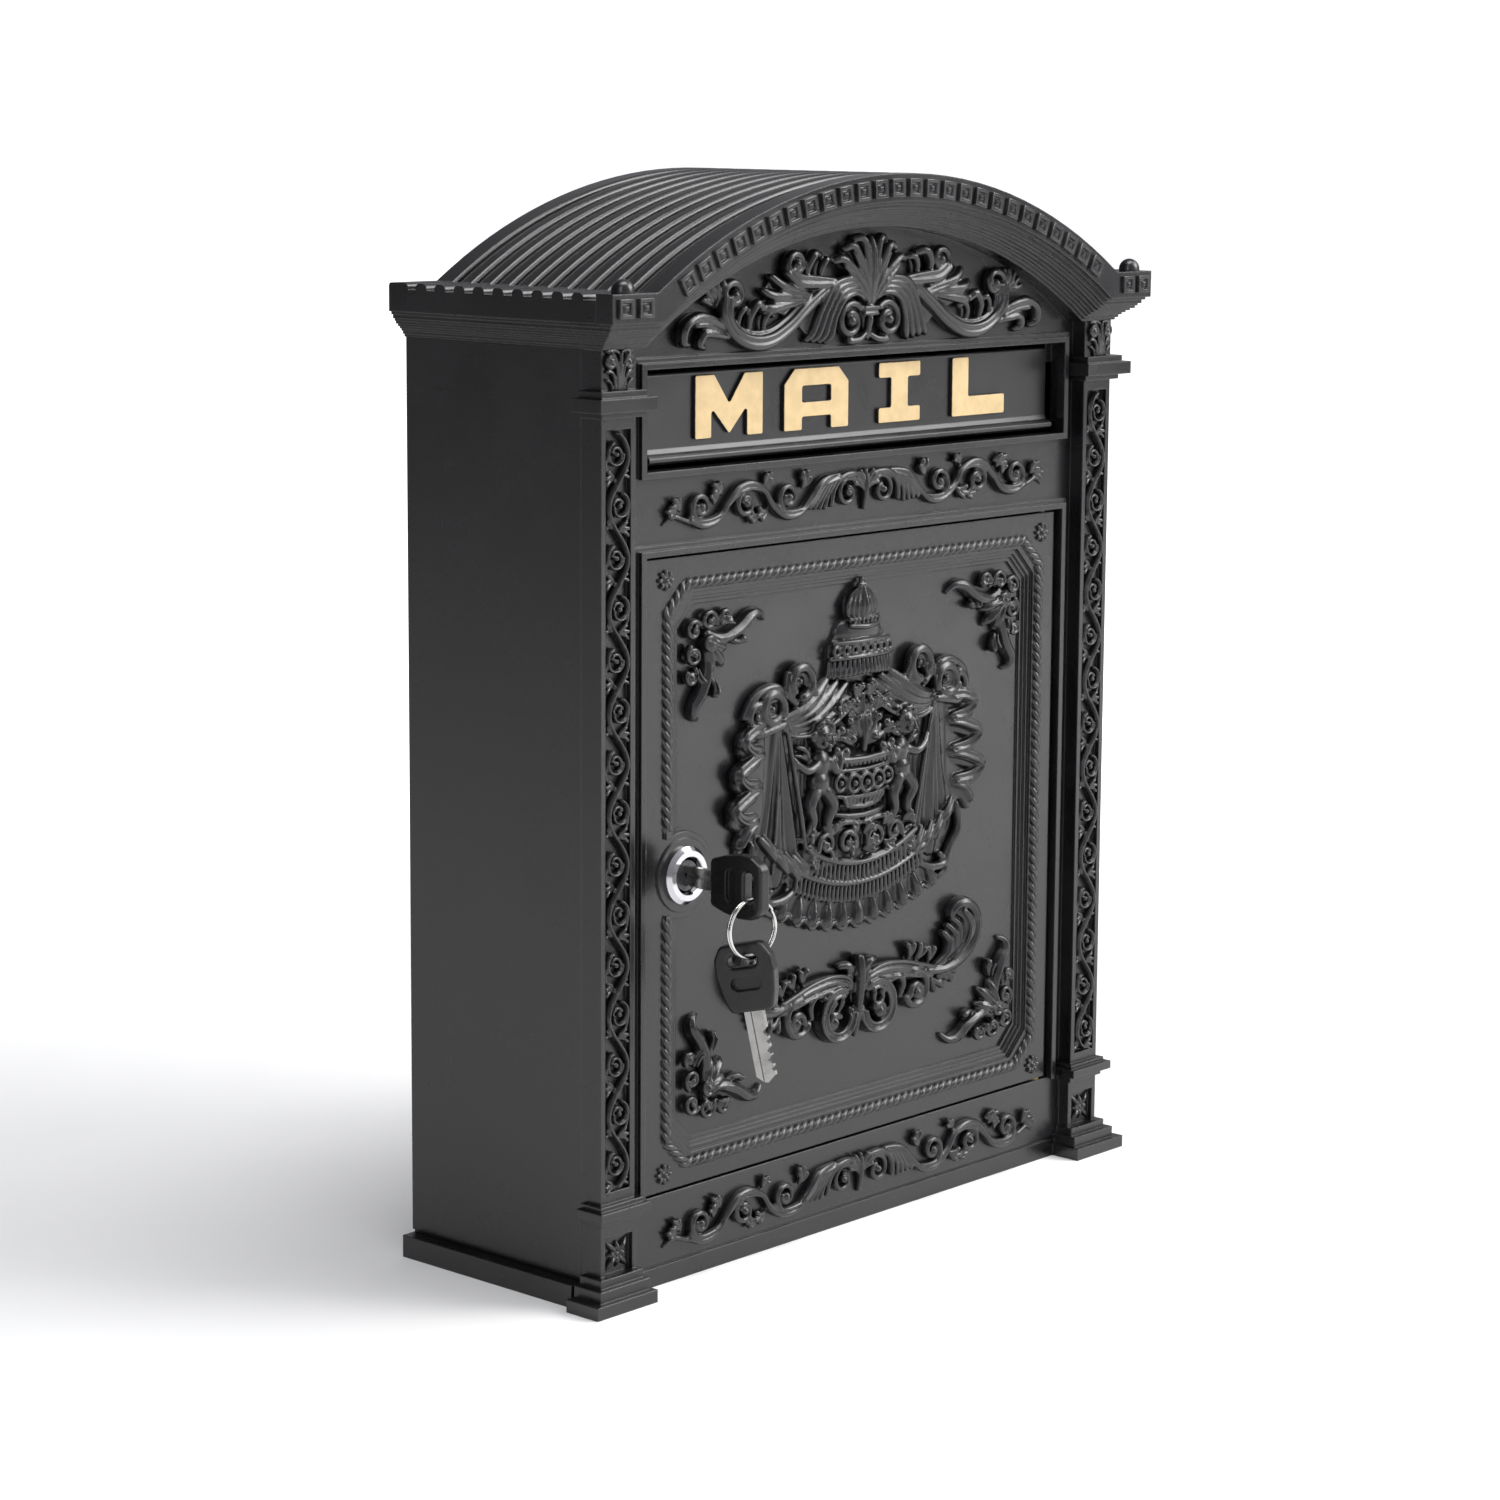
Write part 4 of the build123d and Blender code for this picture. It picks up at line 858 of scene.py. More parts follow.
def lower_scrollwork():
    """Two C-scrolls under a small palmette, with rails that run out into curled leaves."""
    half = []
    # C-scroll: a broad band with a raised rim, ending in a leafy eye
    half += spiral(12.0, 89.0, 10.0, 8.8, 118, -300, 2.9, 2.6, 0, 0.4)
    half += spiral(12.0, 89.0, 11.4, 10.2, 114, -290, 0.8, 0.8, 0, 2.8)
    half += spiral(12.0, 89.0, 8.2, 7.0, 110, -280, 0.8, 0.7, 0, 2.8)
    half += spiral(14.2, 86.6, 3.6, 1.8, 150, -300, 1.7, 1.4, 1.9, 1.6)
    half.append(lobe(16.0, 89.0, 84, 6.0, 50, 1.5, 1.4))
    half.append(lobe(12.0, 90.0, 130, 5.4, -50, 1.4, 1.4))
    # rails
    for offset, fat, lift in ((0.0, 1.0, 2.6), (-3.0, 2.8, 0.2), (-6.0, 0.9, 2.2)):
        half.append([(2.6 - 0.2 * offset, 98.4 + 0.2 * offset, 1.2, 1.4),
                     (6.6 - 0.3 * offset, 103.8 + 0.8 * offset, fat, lift),
                     (16, 106.0 + offset, fat, lift), (28, 105.0 + offset, fat, lift),
                     (38, 102.4 + 0.9 * offset, fat, lift), (47, 99.8 + 0.7 * offset, fat, lift)])
    # big curled leaf
    half.append([(44, 98.4, 1.9, 1.8), (54, 97.6, 2.4, 2.0), (63.6, 100.4, 2.9, 2.2), (71.0, 106.4, 3.1, 2.4),
                 (74.0, 114.4, 3.2, 2.4), (71.6, 121.4, 3.0, 2.2), (65.6, 124.2, 2.7, 2.0),
                 (60.4, 121.0, 2.2, 1.6), (61.6, 117.4, 1.7, 1.2)])
    for k in range(4):
        t = k / 3
        half.append([(50 + 12 * t, 99.8 + 3.4 * t, 1.2, 2.0), (55.6 + 11.4 * t, 103.6 + 6.0 * t, 1.7, 2.6),
                     (57.6 + 9.6 * t, 108.8 + 8.0 * t, 1.9, 2.4),
                     (55.2 + 8.4 * t, 112.4 + 8.0 * t, 1.6, 1.6)])
    for k in range(2):
        half.append([(60 + 3.6 * k, 101.6 + 3.4 * k, 0.9, 3.4), (66.8 + 2.2 * k, 108.0 + 2.4 * k, 1.1, 4.4),
                     (68.4 + 1.2 * k, 115.0 + 1.6 * k, 1.1, 4.4),
                     (65.4 + 0.6 * k, 120.6 + 0.4 * k, 0.9, 3.8)])
    # smaller volute below the rail
    half += spiral(36.4, 92.0, 8.0, 6.6, 100, -250, 2.0, 1.9, 0, 1.6)
    half += spiral(37.6, 90.4, 4.4, 1.8, 190, -330, 1.7, 1.3, 1.9, 1.8)
    half.append([(20, 97.6, 1.4, 1.2), (26.0, 99.2, 1.7, 1.6), (29.0, 95.6, 1.8, 1.4),
                 (27.6, 90.6, 1.6, 1.0)])
    # small leaves over and under the rails
    for x, z, heading, bend in ((33, 105, 72, 60), (38, 104, 44, 60), (45.6, 101.6, 66, 56),
                                (51, 96.0, -30, -40), (56, 96.6, -16, -40), (47.4, 95.4, -64, 40)):
        for turn in (-22, 14):
            half.append(lobe(x, z, heading + turn, 6.4, bend * 0.7, 1.5, 1.2))
    half.append([(3.0, 105.6, 1.4, 1.8), (6.6, 109.0, 1.9, 2.0), (11.0, 109.0, 1.5, 1.4)])
    middle = [[(0, 78.6, 1.0, 1.0), (0, 86, 1.6, 1.8), (0, 96, 2.1, 2.4), (0, 104, 2.4, 2.6),
               (0, 111.0, 2.3, 2.2)],
              [(-4.6, 103.6, 1.5, 1.8), (-6.6, 108.0, 1.7, 1.6)],
              [(4.6, 103.6, 1.5, 1.8), (6.6, 108.0, 1.7, 1.6)]]
    return middle + both(half)


# ---------------------------------------------------------------- the canopy emblem

def putto_parts(side):
    """Plump child figure as (x, z, out, rx, ry, rz) bodies, facing the urn."""
    return [
        (side * 26.0, 206.6, 4.2, 5.6, 5.0, 6.0),
        (side * 24.4, 194.8, 2.6, 5.2, 4.2, 6.4),
        (side * 25.2, 187.4, 2.6, 5.6, 4.6, 5.8),
        (side * 26.0, 211.4, 3.4, 4.8, 3.8, 2.8),
    ]


HEAD_SHIFT = (0.6, 4.6)


def putto_limbs():
    """Arms, legs, face, hair and wing of the right-hand child, as strokes."""
    limbs = [
        [(28, 195, 2.2, 3.4), (34, 193.4, 2.0, 3.8), (39.4, 196.4, 1.6, 3.6), (41.4, 199.0, 1.3, 3.0)],
        [(21, 195.6, 2.2, 3.8), (17.4, 191.4, 2.0, 4.4), (15.2, 196.0, 1.7, 4.6), (14.6, 198.2, 1.4, 4.2)],
        [(27.8, 184, 3.1, 2.8), (31.8, 178.6, 2.9, 3.2), (29.2, 172.2, 2.2, 2.8), (32.0, 166.0, 1.8, 2.2),
         (35.8, 165.0, 1.4, 2.0)],
        [(22.6, 183.6, 3.0, 3.4), (18.8, 177.6, 2.7, 3.8), (20.8, 171.0, 2.1, 3.2), (18.2, 166.0, 1.7, 2.6),
         (15.0, 165.4, 1.3, 2.4)],
    ]
    head = [
        # face: brow, nose, cheeks and chin set out on plain thirds
        [(22.6, 203.0, 0.6, 8.3), (24.4, 203.5, 0.6, 8.8)],
        [(26.0, 203.5, 0.6, 8.7), (28.0, 203.0, 0.6, 8.0)],
        [(25.0, 202.4, 0.5, 9.0), (25.0, 200.4, 0.75, 9.4)],
        [(23.0, 199.6, 1.1, 7.8), (23.1, 199.6, 1.1, 7.8)],
        [(27.4, 199.6, 1.1, 7.6), (27.5, 199.6, 1.1, 7.6)],
        [(24.2, 198.2, 0.4, 8.5), (26.0, 198.2, 0.4, 8.4)],
        [(24.9, 196.8, 0.9, 7.6), (25.2, 196.8, 0.9, 7.6)],
        # curls of hair
        [(20.4, 203.6, 1.2, 5.6), (21.6, 206.4, 1.3, 6.2)],
        [(23.4, 207.8, 1.3, 6.4), (25.6, 208.4, 1.3, 6.4)],
        [(27.6, 207.6, 1.3, 6.2), (29.6, 206.0, 1.2, 5.6)],
        [(30.6, 203.6, 1.1, 4.8), (31.0, 201.2, 1.0, 4.4)],
    ]
    wing = [
        [(30.4, 197.0, 1.1, 2.0), (33.4, 201.4, 1.4, 2.4), (37.4, 203.0, 1.0, 1.8)],
        [(30.4, 195.6, 1.0, 1.6), (34.6, 198.6, 1.2, 2.0), (38.4, 199.6, 0.9, 1.4)],
    ]
    return limbs + moved(head, *HEAD_SHIFT) + wing


def canopy_strokes():
    """Everything of the canopy that is drawn as bars."""
    half = []
    # ribs of the crown and its bead rows
    for k in range(4):
        foot = 1.4 + 2.2 * k
        half.append([(foot, 252.4, 0.9, 3.8 - 0.5 * k), (foot * 1.05 + 0.3, 256.6, 1.05, 4.4 - 0.6 * k),
                     (foot * 0.72, 261.4, 0.9, 3.8 - 0.5 * k), (foot * 0.2, 264.2, 0.7, 3.2)])
    # ruffle of paired rings below the bell, between two cords
    for z, reach in ((242.8, 16.8), (236.6, 18.6)):
        half.append([(reach * t, z - 0.2 * t, 1.0, 5.2 - 2.6 * t * t) for t in (0, 0.25, 0.5, 0.75, 1)])
    for k in range(4):
        x = 2.3 + 4.6 * k
        half += spiral(x, 239.7 - 0.1 * k, 1.7, 1.7, 90, -360, 0.85, 0.85, 0, 4.9 - 0.17 * k * k)
    # fringe
    for k in range(8):
        x = 1.2 + 2.45 * k
        lift = 4.4 - 0.035 * x * x * 0.25
        half.append([(x, 235.6 - 0.1 * k, 0.8, lift), (x * 1.05, 230.0 - 0.16 * k, 1.2, lift)])
    # swags that hang from the fringe to the knots
    for k in range(4):
        t = k / 3
        half.append([
            (2.0 + 18.0 * t, 223.8 + 4.0 * t, 2.0, 0.8), (12 + 16 * t, 216.8 + 5.6 * t, 3.0, 0.8 + 0.6 * t),
            (25 + 11 * t, 211.4 + 6.6 * t, 3.2, 0.9 + 0.6 * t), (39 + 6 * t, 209.8 + 5.6 * t, 2.6, 0.9),
            (48.5, 212.6 + 3.0 * t, 1.3, 1.8)])
    half.append([(1.4, 221.4, 0.7, 3.6), (12, 214.2, 0.8, 4.4), (25, 208.6, 0.9, 4.4), (39, 207.6, 0.8, 3.6),
                 (47.0, 211.4, 0.7, 3.0)])
    # scrolled lappet above each swag
    half += spiral(37.0, 229.6, 6.6, 5.4, 262, -300, 2.4, 2.2, 0, 2.8)
    half += spiral(37.0, 229.6, 3.6, 1.8, 200, -300, 1.0, 0.9, 1.6, 2.0)
    half.append([(28.6, 220.4, 1.6, 2.4), (29.4, 227, 1.7, 2.8), (33, 234.0, 1.8, 2.8)])
    half.append([(40.0, 221.4, 1.8, 2.6), (44.8, 226.0, 1.7, 2.4), (43.8, 233.0, 1.5, 2.0)])
    # knots: bunched loops
    half += spiral(54.0, 220.4, 6.6, 5.0, 200, -330, 2.2, 2.0, 0, 3.0)
    half += spiral(54.0, 220.4, 3.4, 1.6, 120, -300, 1.1, 1.0, 1.6, 2.6)
    half += spiral(62.4, 217.8, 5.4, 2.0, 120, -380, 1.9, 1.4, 1.6, 2.4)
    half.append([(46.6, 224.0, 1.5, 2.4), (50.6, 228.6, 1.8, 2.6), (58.0, 228.6, 1.8, 2.4),
                 (65.0, 224.6, 1.8, 2.0), (68.6, 218.6, 1.6, 1.6)])
    half.append([(47.4, 213.6, 1.8, 3.2), (54.6, 212.4, 2.0, 3.2), (62.0, 211.0, 1.8, 2.6),
                 (67.6, 213.0, 1.5, 1.8)])
    # ribbon: one broad band that folds to and fro as it falls, with a turned rim
    band = ((57.0, 212.0, 1.0), (64, 212.8, 2.2), (71.0, 209.4, 3.0), (66, 205.0, 2.0), (58.6, 203.0, 0.8),
            (65, 201.0, 2.2), (74.4, 196.6, 3.2), (68.6, 191.4, 2.0), (59.6, 189.4, 0.8), (67, 187.2, 2.2),
            (76.4, 182.6, 3.2), (70.6, 177.8, 2.0), (61.6, 176.4, 0.8), (67, 173.6, 1.8), (71.4, 168.4, 1.6))
    for drop, fat, rise in ((0.0, 2.9, -0.4), (-3.4, 2.1, -1.3), (2.0, 1.0, 1.5), (-0.6, 0.8, 2.2)):
        half.append([(x, z + drop, fat, lift + rise) for x, z, lift in band])
    # side curtains: broad planes that part from the knot, with sharp fold lines
    half.append([(45.4, 212.4, 0.9, 3.0), (41.4, 196, 1.0, 3.2), (36.8, 176, 1.1, 3.2),
                 (31.4, 151.4, 1.1, 2.8)])
    for foot_x, foot_z, fat, sink in ((37.6, 150.6, 4.4, -1.6), (47.6, 149.6, 4.6, -1.9),
                                      (56.6, 158.0, 4.2, -2.1)):
        half.append([(47.6 + (foot_x - 37) * 0.12, 212.0, 1.4, 1.0),
                     ((foot_x + 48) / 2, 188, fat * 0.75, sink * 0.6), (foot_x, foot_z + 6, fat, sink),
                     (foot_x + 0.4, foot_z, fat * 0.9, sink)])
    half.append([(48.4, 210.6, 0.6, 1.8), (49.0, 186, 0.7, 2.0), (51.6, 154.0, 0.8, 1.8)])
    # shell folds where the curtain turns over at its foot
    for k in range(4):
        x, z = 34.2 + 6.4 * k, 152.0 + 1.1 * k * k
        half.append([(x - 3.6, z - 3.0, 1.6, 2.0), (x + 1.4, z + 1.6, 2.2, 2.8),
                     (x + 6.0, z + 6.6, 1.6, 2.2)])
        half.append([(x - 2.8, z + 0.4, 0.7, 3.2), (x + 1.2, z + 4.2, 0.8, 3.8),
                     (x + 5.0, z + 8.6, 0.7, 3.0)])
    half.append([(36, 146.6, 1.5, 1.4), (45.6, 142.4, 1.9, 2.0), (54.6, 142.6, 1.9, 1.8),
                 (58.6, 149.0, 1.8, 1.8), (64.4, 156.4, 1.8, 1.8), (63.6, 166.6, 1.5, 1.2)])
    half.append([(52.0, 137.0, 1.5, 1.0), (57.2, 140.6, 1.7, 1.4), (52.8, 146.6, 1.5, 1.6)])
    half += putto_limbs()
    # scroll band above the platform
    half += spiral(8.8, 160.6, 5.6, 1.8, 200, -420, 1.4, 1.0, 1.5, 3.6)
    half += spiral(21.0, 161.4, 5.0, 1.7, -20, 420, 1.3, 1.0, 1.4, 3.2)
    half += spiral(31.6, 158.6, 4.0, 1.5, 180, -420, 1.2, 0.9, 1.2, 2.4)
    half.append([(1.0, 168.0, 1.2, 3.6), (11, 169.0, 1.3, 3.4), (22, 168.2, 1.2, 2.8)])
    half.append([(2.4, 152.2, 1.1, 3.6), (12, 153.6, 1.3, 3.6), (22, 153.6, 1.2, 3.0), (32, 152.8, 1.1, 2.4)])
    for x, z, heading, bend in ((14.8, 158.4, -50, 50), (2.2, 163.0, 60, -50), (14.2, 165.0, 60, 60),
                                (26.4, 156.4, -34, 50), (27.0, 165.0, 40, -60), (2.0, 156.4, 0, 50)):
        for turn in (-28, 0, 28):
            half.append(lobe(x, z, heading + turn, 5.0, bend, 1.05, 3.0))
    # urn: mouldings across it and rings on its belly
    for z, reach, fat, lift in ((195.0, 22.4, 1.4, 4.4), (190.6, 20.6, 1.0, 4.0), (179.6, 16.6, 1.0, 4.0),
                                (175.2, 11.4, 1.1, 3.6), (171.6, 14.6, 1.3, 3.4)):
        half.append([(0, z - 0.5, fat, lift + 0.8), (reach * 0.6, z, fat, lift + 0.2),
                     (reach, z + 0.8, fat, lift - 1.4)])
    for k in range(8):
        x = 1.3 + 2.6 * k
        half.append([(x, 192.9, 0.95, 5.4 - 0.02 * k ** 2.2), (x + 0.05, 192.9, 0.95, 5.4 - 0.02 * k ** 2.2)])
    half += spiral(7.4, 185.2, 3.5, 3.5, 0, 360, 0.95, 0.95, 1.5, 5.4)
    half += spiral(14.4, 185.8, 3.1, 3.1, 0, 360, 0.9, 0.9, 1.3, 4.4)
    for k in range(5):
        half.append([(1.4 + 2.6 * k, 178.8, 1.0, 4.4), (1.2 + 2.1 * k, 175.6, 0.8, 3.8)])
    # fruit and leaves over the urn: a shell, rosettes and loose leaves
    half += fan(0, 197.6, 2.5, 13.4, 88, 26, 5, 1.6, 3.4)
    half += fan(0, 209.4, 1.5, 9.6, 84, 10, 5, 1.3, 2.8)
    for x, z, r in ((11.4, 198.2, 2.5), (16.8, 199.4, 2.1), (8.8, 210.6, 2.0), (14.0, 207.4, 2.2),
                    (4.2, 217.6, 1.7), (6.6, 203.0, 1.9), (18.6, 196.4, 1.7), (2.8, 211.6, 1.7)):
        half.append([(x, z, r, 4.0), (x + 0.1, z, r, 4.0)])
    for x, z, heading, bend in ((13.0, 203.2, 30, 60), (7.8, 213.4, 50, 60), (3.8, 219.0, 74, 60),
                                (16.2, 204.4, -10, 50), (10.2, 216.4, 10, -40)):
        for turn in (-28, 0, 28):
            half.append(lobe(x, z, heading + turn, 5.6, bend * 0.6, 1.15, 3.0))
    # pleats of the backdrop
    for k in range(9):
        x = 3.4 + 4.2 * k
        half.append([(x, 164.6, 1.1, 0.1), (x, 188, 1.1, 0.3), (x, 216.0 - 0.6 * k, 1.0, 0.3)])
    # two rows of tassels on the bowed front of the platform
    for edge_z, sag, reach, lift, count in ((159.0, 9.0, 33.0, 3.4, 13), (151.4, 9.8, 39.5, 2.6, 16)):
        half.append([(reach * t, edge_z + 1.6 - sag * (1 - t * t), 1.15,
                      lift + 1.0) for t in (0, 0.25, 0.5, 0.75, 1)])
        for k in range(count):
            t = (k + 0.5) / count
            x, z = reach * t, edge_z - sag * (1 - t * t)
            lean = 1.2 * t
            half.append([(x, z, 0.75, lift + 0.4), (x + lean, z - 5.6, 1.15, lift - 0.1)])
    # pleated ruffle under them
    for k in range(6):
        t = (k + 0.05) / 5.4
        x, z = 47.0 * t, 132.6 + 9.6 * t * t
        lean = 3.4 * t
        half.append([(x, z + 2.4, 1.6, 1.6), (x + lean * 0.5, z - 1.4, 2.5, 1.8),
                     (x + lean, z - 4.8 + 0.8 * t, 3.3, 1.2)])
    half.append([(50.0 * t, 125.6 + 11.4 * t * t - 1.5 * math.cos(2 * math.pi * 5.4 * t), 1.1, 1.6)
                 for t in [i / 40 for i in range(41)]])
    middle = [
        [(0, 252.4, 0.9, 4.2), (0, 257, 1.1, 5.0), (0, 264, 0.8, 3.6)],
        [(-1.6, 265.2, 1.3, 2.8), (1.6, 265.2, 1.3, 2.8)],
        [(-0.05, 267.4, 1.2, 2.4), (0.05, 267.4, 1.2, 2.4)],
        [(0, 198, 1.4, 4.0), (0, 204, 1.6, 4.6), (0, 211.6, 1.6, 4.0)],
        [(0, 212, 1.2, 3.4), (0, 220.4, 1.5, 3.0)], [(-8.6, 249.2, 1.0, 4.0), (0, 248.6, 1.2, 5.2),
                                                     (8.6, 249.2, 1.0, 4.0)],
    ]
    middle += spiral(0, 184.8, 3.6, 3.6, 0, 360, 0.95, 0.95, 1.6, 5.6)
    middle += beads(-8.8, 251.8, 8.8, 251.8, 8, 1.2, 0.5, 4.0)
    return middle + both(half)


def canopy_bodies(face_y):
    """Solid masses behind the drawn folds of the canopy."""
    parts = []
    # crown, bell, its broad foot, urn and the heap over it
    for x, z, rx, ry, rz in ((0, 256.8, 8.4, 4.0, 7.8), (0, 246.0, 14.8, 5.6, 7.6),
                             (0, 241.0, 17.6, 4.8, 5.0), (0, 185.6, 18.6, 4.8, 10.6),
                             (0, 206.0, 14.6, 3.4, 14.0)):
        parts.append(dome(x, z, rx, ry, rz, face_y))
    parts.append(slab([(-19.6, 229.4), (19.6, 229.4), (18.4, 241.0), (14.0, 246.4), (-14.0, 246.4),
                       (-18.4, 241.0)],
                      face_y, 1.8))
    parts.append(slab([(-20.4, 227.4), (0, 219.0), (20.4, 227.4), (30, 221), (47, 217), (48.0, 211.4),
                       (38, 208.4), (25, 210.4), (12, 216.0), (0, 223.0), (-12, 216.0), (-25, 210.4),
                       (-38, 208.4), (-48, 211.4), (-47, 217), (-30, 221)], face_y, 2.0))
    parts.append(slab([(-40, 165), (40, 165), (40, 214), (-40, 214)], face_y, 0.35))
    parts.append(slab([(-33, 154), (-26, 149.6), (-15, 147), (0, 145.6), (15, 147), (26, 149.6), (33, 154),
                       (33, 167), (-33, 167)], face_y, 2.6))
    parts.append(slab([(-44, 150), (-36, 141.2), (-19, 137), (0, 135.6), (19, 137), (36, 141.2), (44, 150),
                       (34, 158), (-34, 158)], face_y, 2.0))
    parts.append(slab([(-50, 137), (-36, 130.8), (-19, 126.6), (0, 125.2), (19, 126.6), (36, 130.8),
                       (50, 137), (40, 150), (-40, 150)], face_y, 1.8))
    for side in (-1, 1):
        parts.append(slab([(side * 45.4, 212.6), (side * 55.0, 212.6), (side * 62.6, 166), (side * 60.6, 157),
                           (side * 54, 147), (side * 32, 149.6)], face_y, 1.2))
        parts.append(slab([(side * 50, 226), (side * 64, 222), (side * 67.4, 214), (side * 48, 212.6)],
                          face_y, 2.2))
        parts.append(slab([(side * 56, 211), (side * 69, 210), (side * 66, 203), (side * 72.4, 197),
                           (side * 68.6, 190), (side * 74, 183), (side * 69, 176), (side * 71, 169),
                           (side * 62, 168), (side * 57, 180)],
                          face_y, 1.7))
        for x, z, out, rx, ry, rz in putto_parts(side):
            parts.append(dome(x, z, rx, ry, rz, face_y - out))
    return parts


# ---------------------------------------------------------------- pieces

def add_arch_ornament():
    piece = relief(arch_leafwork(), TYMPANUM_Y, "arch_leafwork", 0.42, 1.35, 1, 0.45, arch_webs(TYMPANUM_Y))
    return dress(piece, "cabinet", material("ornament"))


def add_friezes():
    """Running scrolls on the two rails."""
    strokes = frieze_leafwork()
    for name, face_y, middle_z in (("upper_frieze", RAIL_Y, 303.6), ("lower_frieze", LOWER_RAIL_Y, 20.8)):
        piece = relief(moved(strokes, 0, middle_z), face_y, name, 0.38, shape().relief, 1, 0.45)
        dress(piece, "cabinet", material("ornament"))


def add_pilaster_vines():
    left = relief(pilaster_leafwork(45.9, 336.4, -146.1), PILASTER_FLOOR_Y, "pilaster_vine_left", 0.38,
                  shape().relief, 1, 0.45)
    right = copy_of(left, MIRROR_X, "pilaster_vine_right")
    for piece in (left, right):
        dress(piece, "cabinet", material("ornament"))


def add_capitals():
    left = relief(capital_leafwork(-146.4), CAPITAL_Y, "capital_leaves_left", 0.35, 1.3, 1, 0.6)
    right = copy_of(left, MIRROR_X, "capital_leaves_right")
    for piece in (left, right):
        dress(piece, "cabinet", material("ornament"))


def add_stars():
    left = relief(star_leafwork(-145.4, 20.3), PILASTER_FLOOR_Y, "pedestal_star_left", 0.3, 1.3, 0, 0.6)
    right = copy_of(left, MIRROR_X, "pedestal_star_right")
    for piece in (left, right):
        dress(piece, "cabinet", material("ornament"))


BOSS = (7.4, 7.2, 1.7)
BOSS_ARCH_RADIUS = 244.9
BOSS_PITCH = 10.42
BOSS_END_X = (-157.4, -146.9, 146.9, 157.4)
BOSS_END_Z = 382.0


def add_bosses():
    """Square raised rings with a small pyramid inside, set along arch and cornice."""
    deselect_all()
    wide, high, deep = BOSS
    bpy.ops.mesh.primitive_cube_add(size=1.0, location=(0, 0, 0))
    boss = bpy.context.object
    boss.scale = (wide * MM, deep * MM, high * MM)
    bpy.ops.object.transform_apply(location=True, rotation=True, scale=True)
    bpy.ops.object.mode_set(mode="EDIT")
    bpy.ops.mesh.select_all(action="DESELECT")
    bpy.ops.object.mode_set(mode="OBJECT")
    for face in boss.data.polygons:
        face.select = face.normal.y < -0.9
    bpy.ops.object.mode_set(mode="EDIT")
    for thickness, push in ((0.35, 0.0), (0.95, 0.0), (0.3, 1.15), (0.5, 0.0), (0.55, -0.95), (0.35, -0.25)):
        bpy.ops.mesh.inset(thickness=thickness * MM)
        if push:
            bpy.ops.transform.translate(value=(0, push * MM, 0))
    bpy.ops.object.mode_set(mode="OBJECT")
    rounding = boss.modifiers.new("Rounding", "BEVEL")
    rounding.width = 0.35 * MM
    rounding.segments = 2
    rounding.limit_method = "ANGLE"
    rounding.angle_limit = math.radians(50)
    apply_modifiers(boss)
    radius = BOSS_ARCH_RADIUS
    copies = []
    count = shape().bosses
    pitch = BOSS_PITCH / radius
    for k in range(count):
        angle = (k - (count - 1) / 2) * pitch
        spot = Matrix.Translation((radius * math.sin(angle) * MM, (FASCIA_Y - deep / 2 + 0.35) * MM,
                                   (ARCH_CENTRE[1] + radius * math.cos(angle)) * MM))
        copies.append(copy_of(boss, spot @ Matrix.Rotation(angle, 4, "Y"), f"boss_{k}"))
    for x in BOSS_END_X:
        spot = Matrix.Translation((x * MM, (FASCIA_Y - deep / 2 + 0.35) * MM, BOSS_END_Z * MM))
        copies.append(copy_of(boss, spot, f"boss_end_{x}"))
    deselect_all()
    boss.select_set(True)
    bpy.ops.object.delete()
    row = join(copies, "fascia_bosses")
    shade(row, 30)
    dress(row, "cabinet", material("ornament"))


ROPE_X = 114.3
ROPE_Z = (46.6, 274.9)
ROPE_CUT = 10.6
ROPE_GAP = (147.0, 178.5)
ROPE_SUNK = 0.45           # lets the open door's rope pass the frame


def rope_path():
    """Centre line of the rope from below the lock, round the door, to above the lock."""
    low, high = ROPE_Z
    side = ROPE_X - ROPE_CUT
    corners = [
        (-ROPE_X, ROPE_GAP[0]), (-ROPE_X, low + ROPE_CUT), (-side, low), (side, low),
        (ROPE_X, low + ROPE_CUT), (ROPE_X, high - ROPE_CUT), (side, high), (-side, high),
        (-ROPE_X, high - ROPE_CUT), (-ROPE_X, ROPE_GAP[1]),
    ]
    step = 0.8
    line = []
    for (x0, z0), (x1, z1) in zip(corners, corners[1:]):
        length = math.hypot(x1 - x0, z1 - z0)
        parts = int(length / step)
        line += [(x0 + (x1 - x0) * k / parts, z0 + (z1 - z0) * k / parts) for k in range(parts)]
    return line + [corners[-1]]


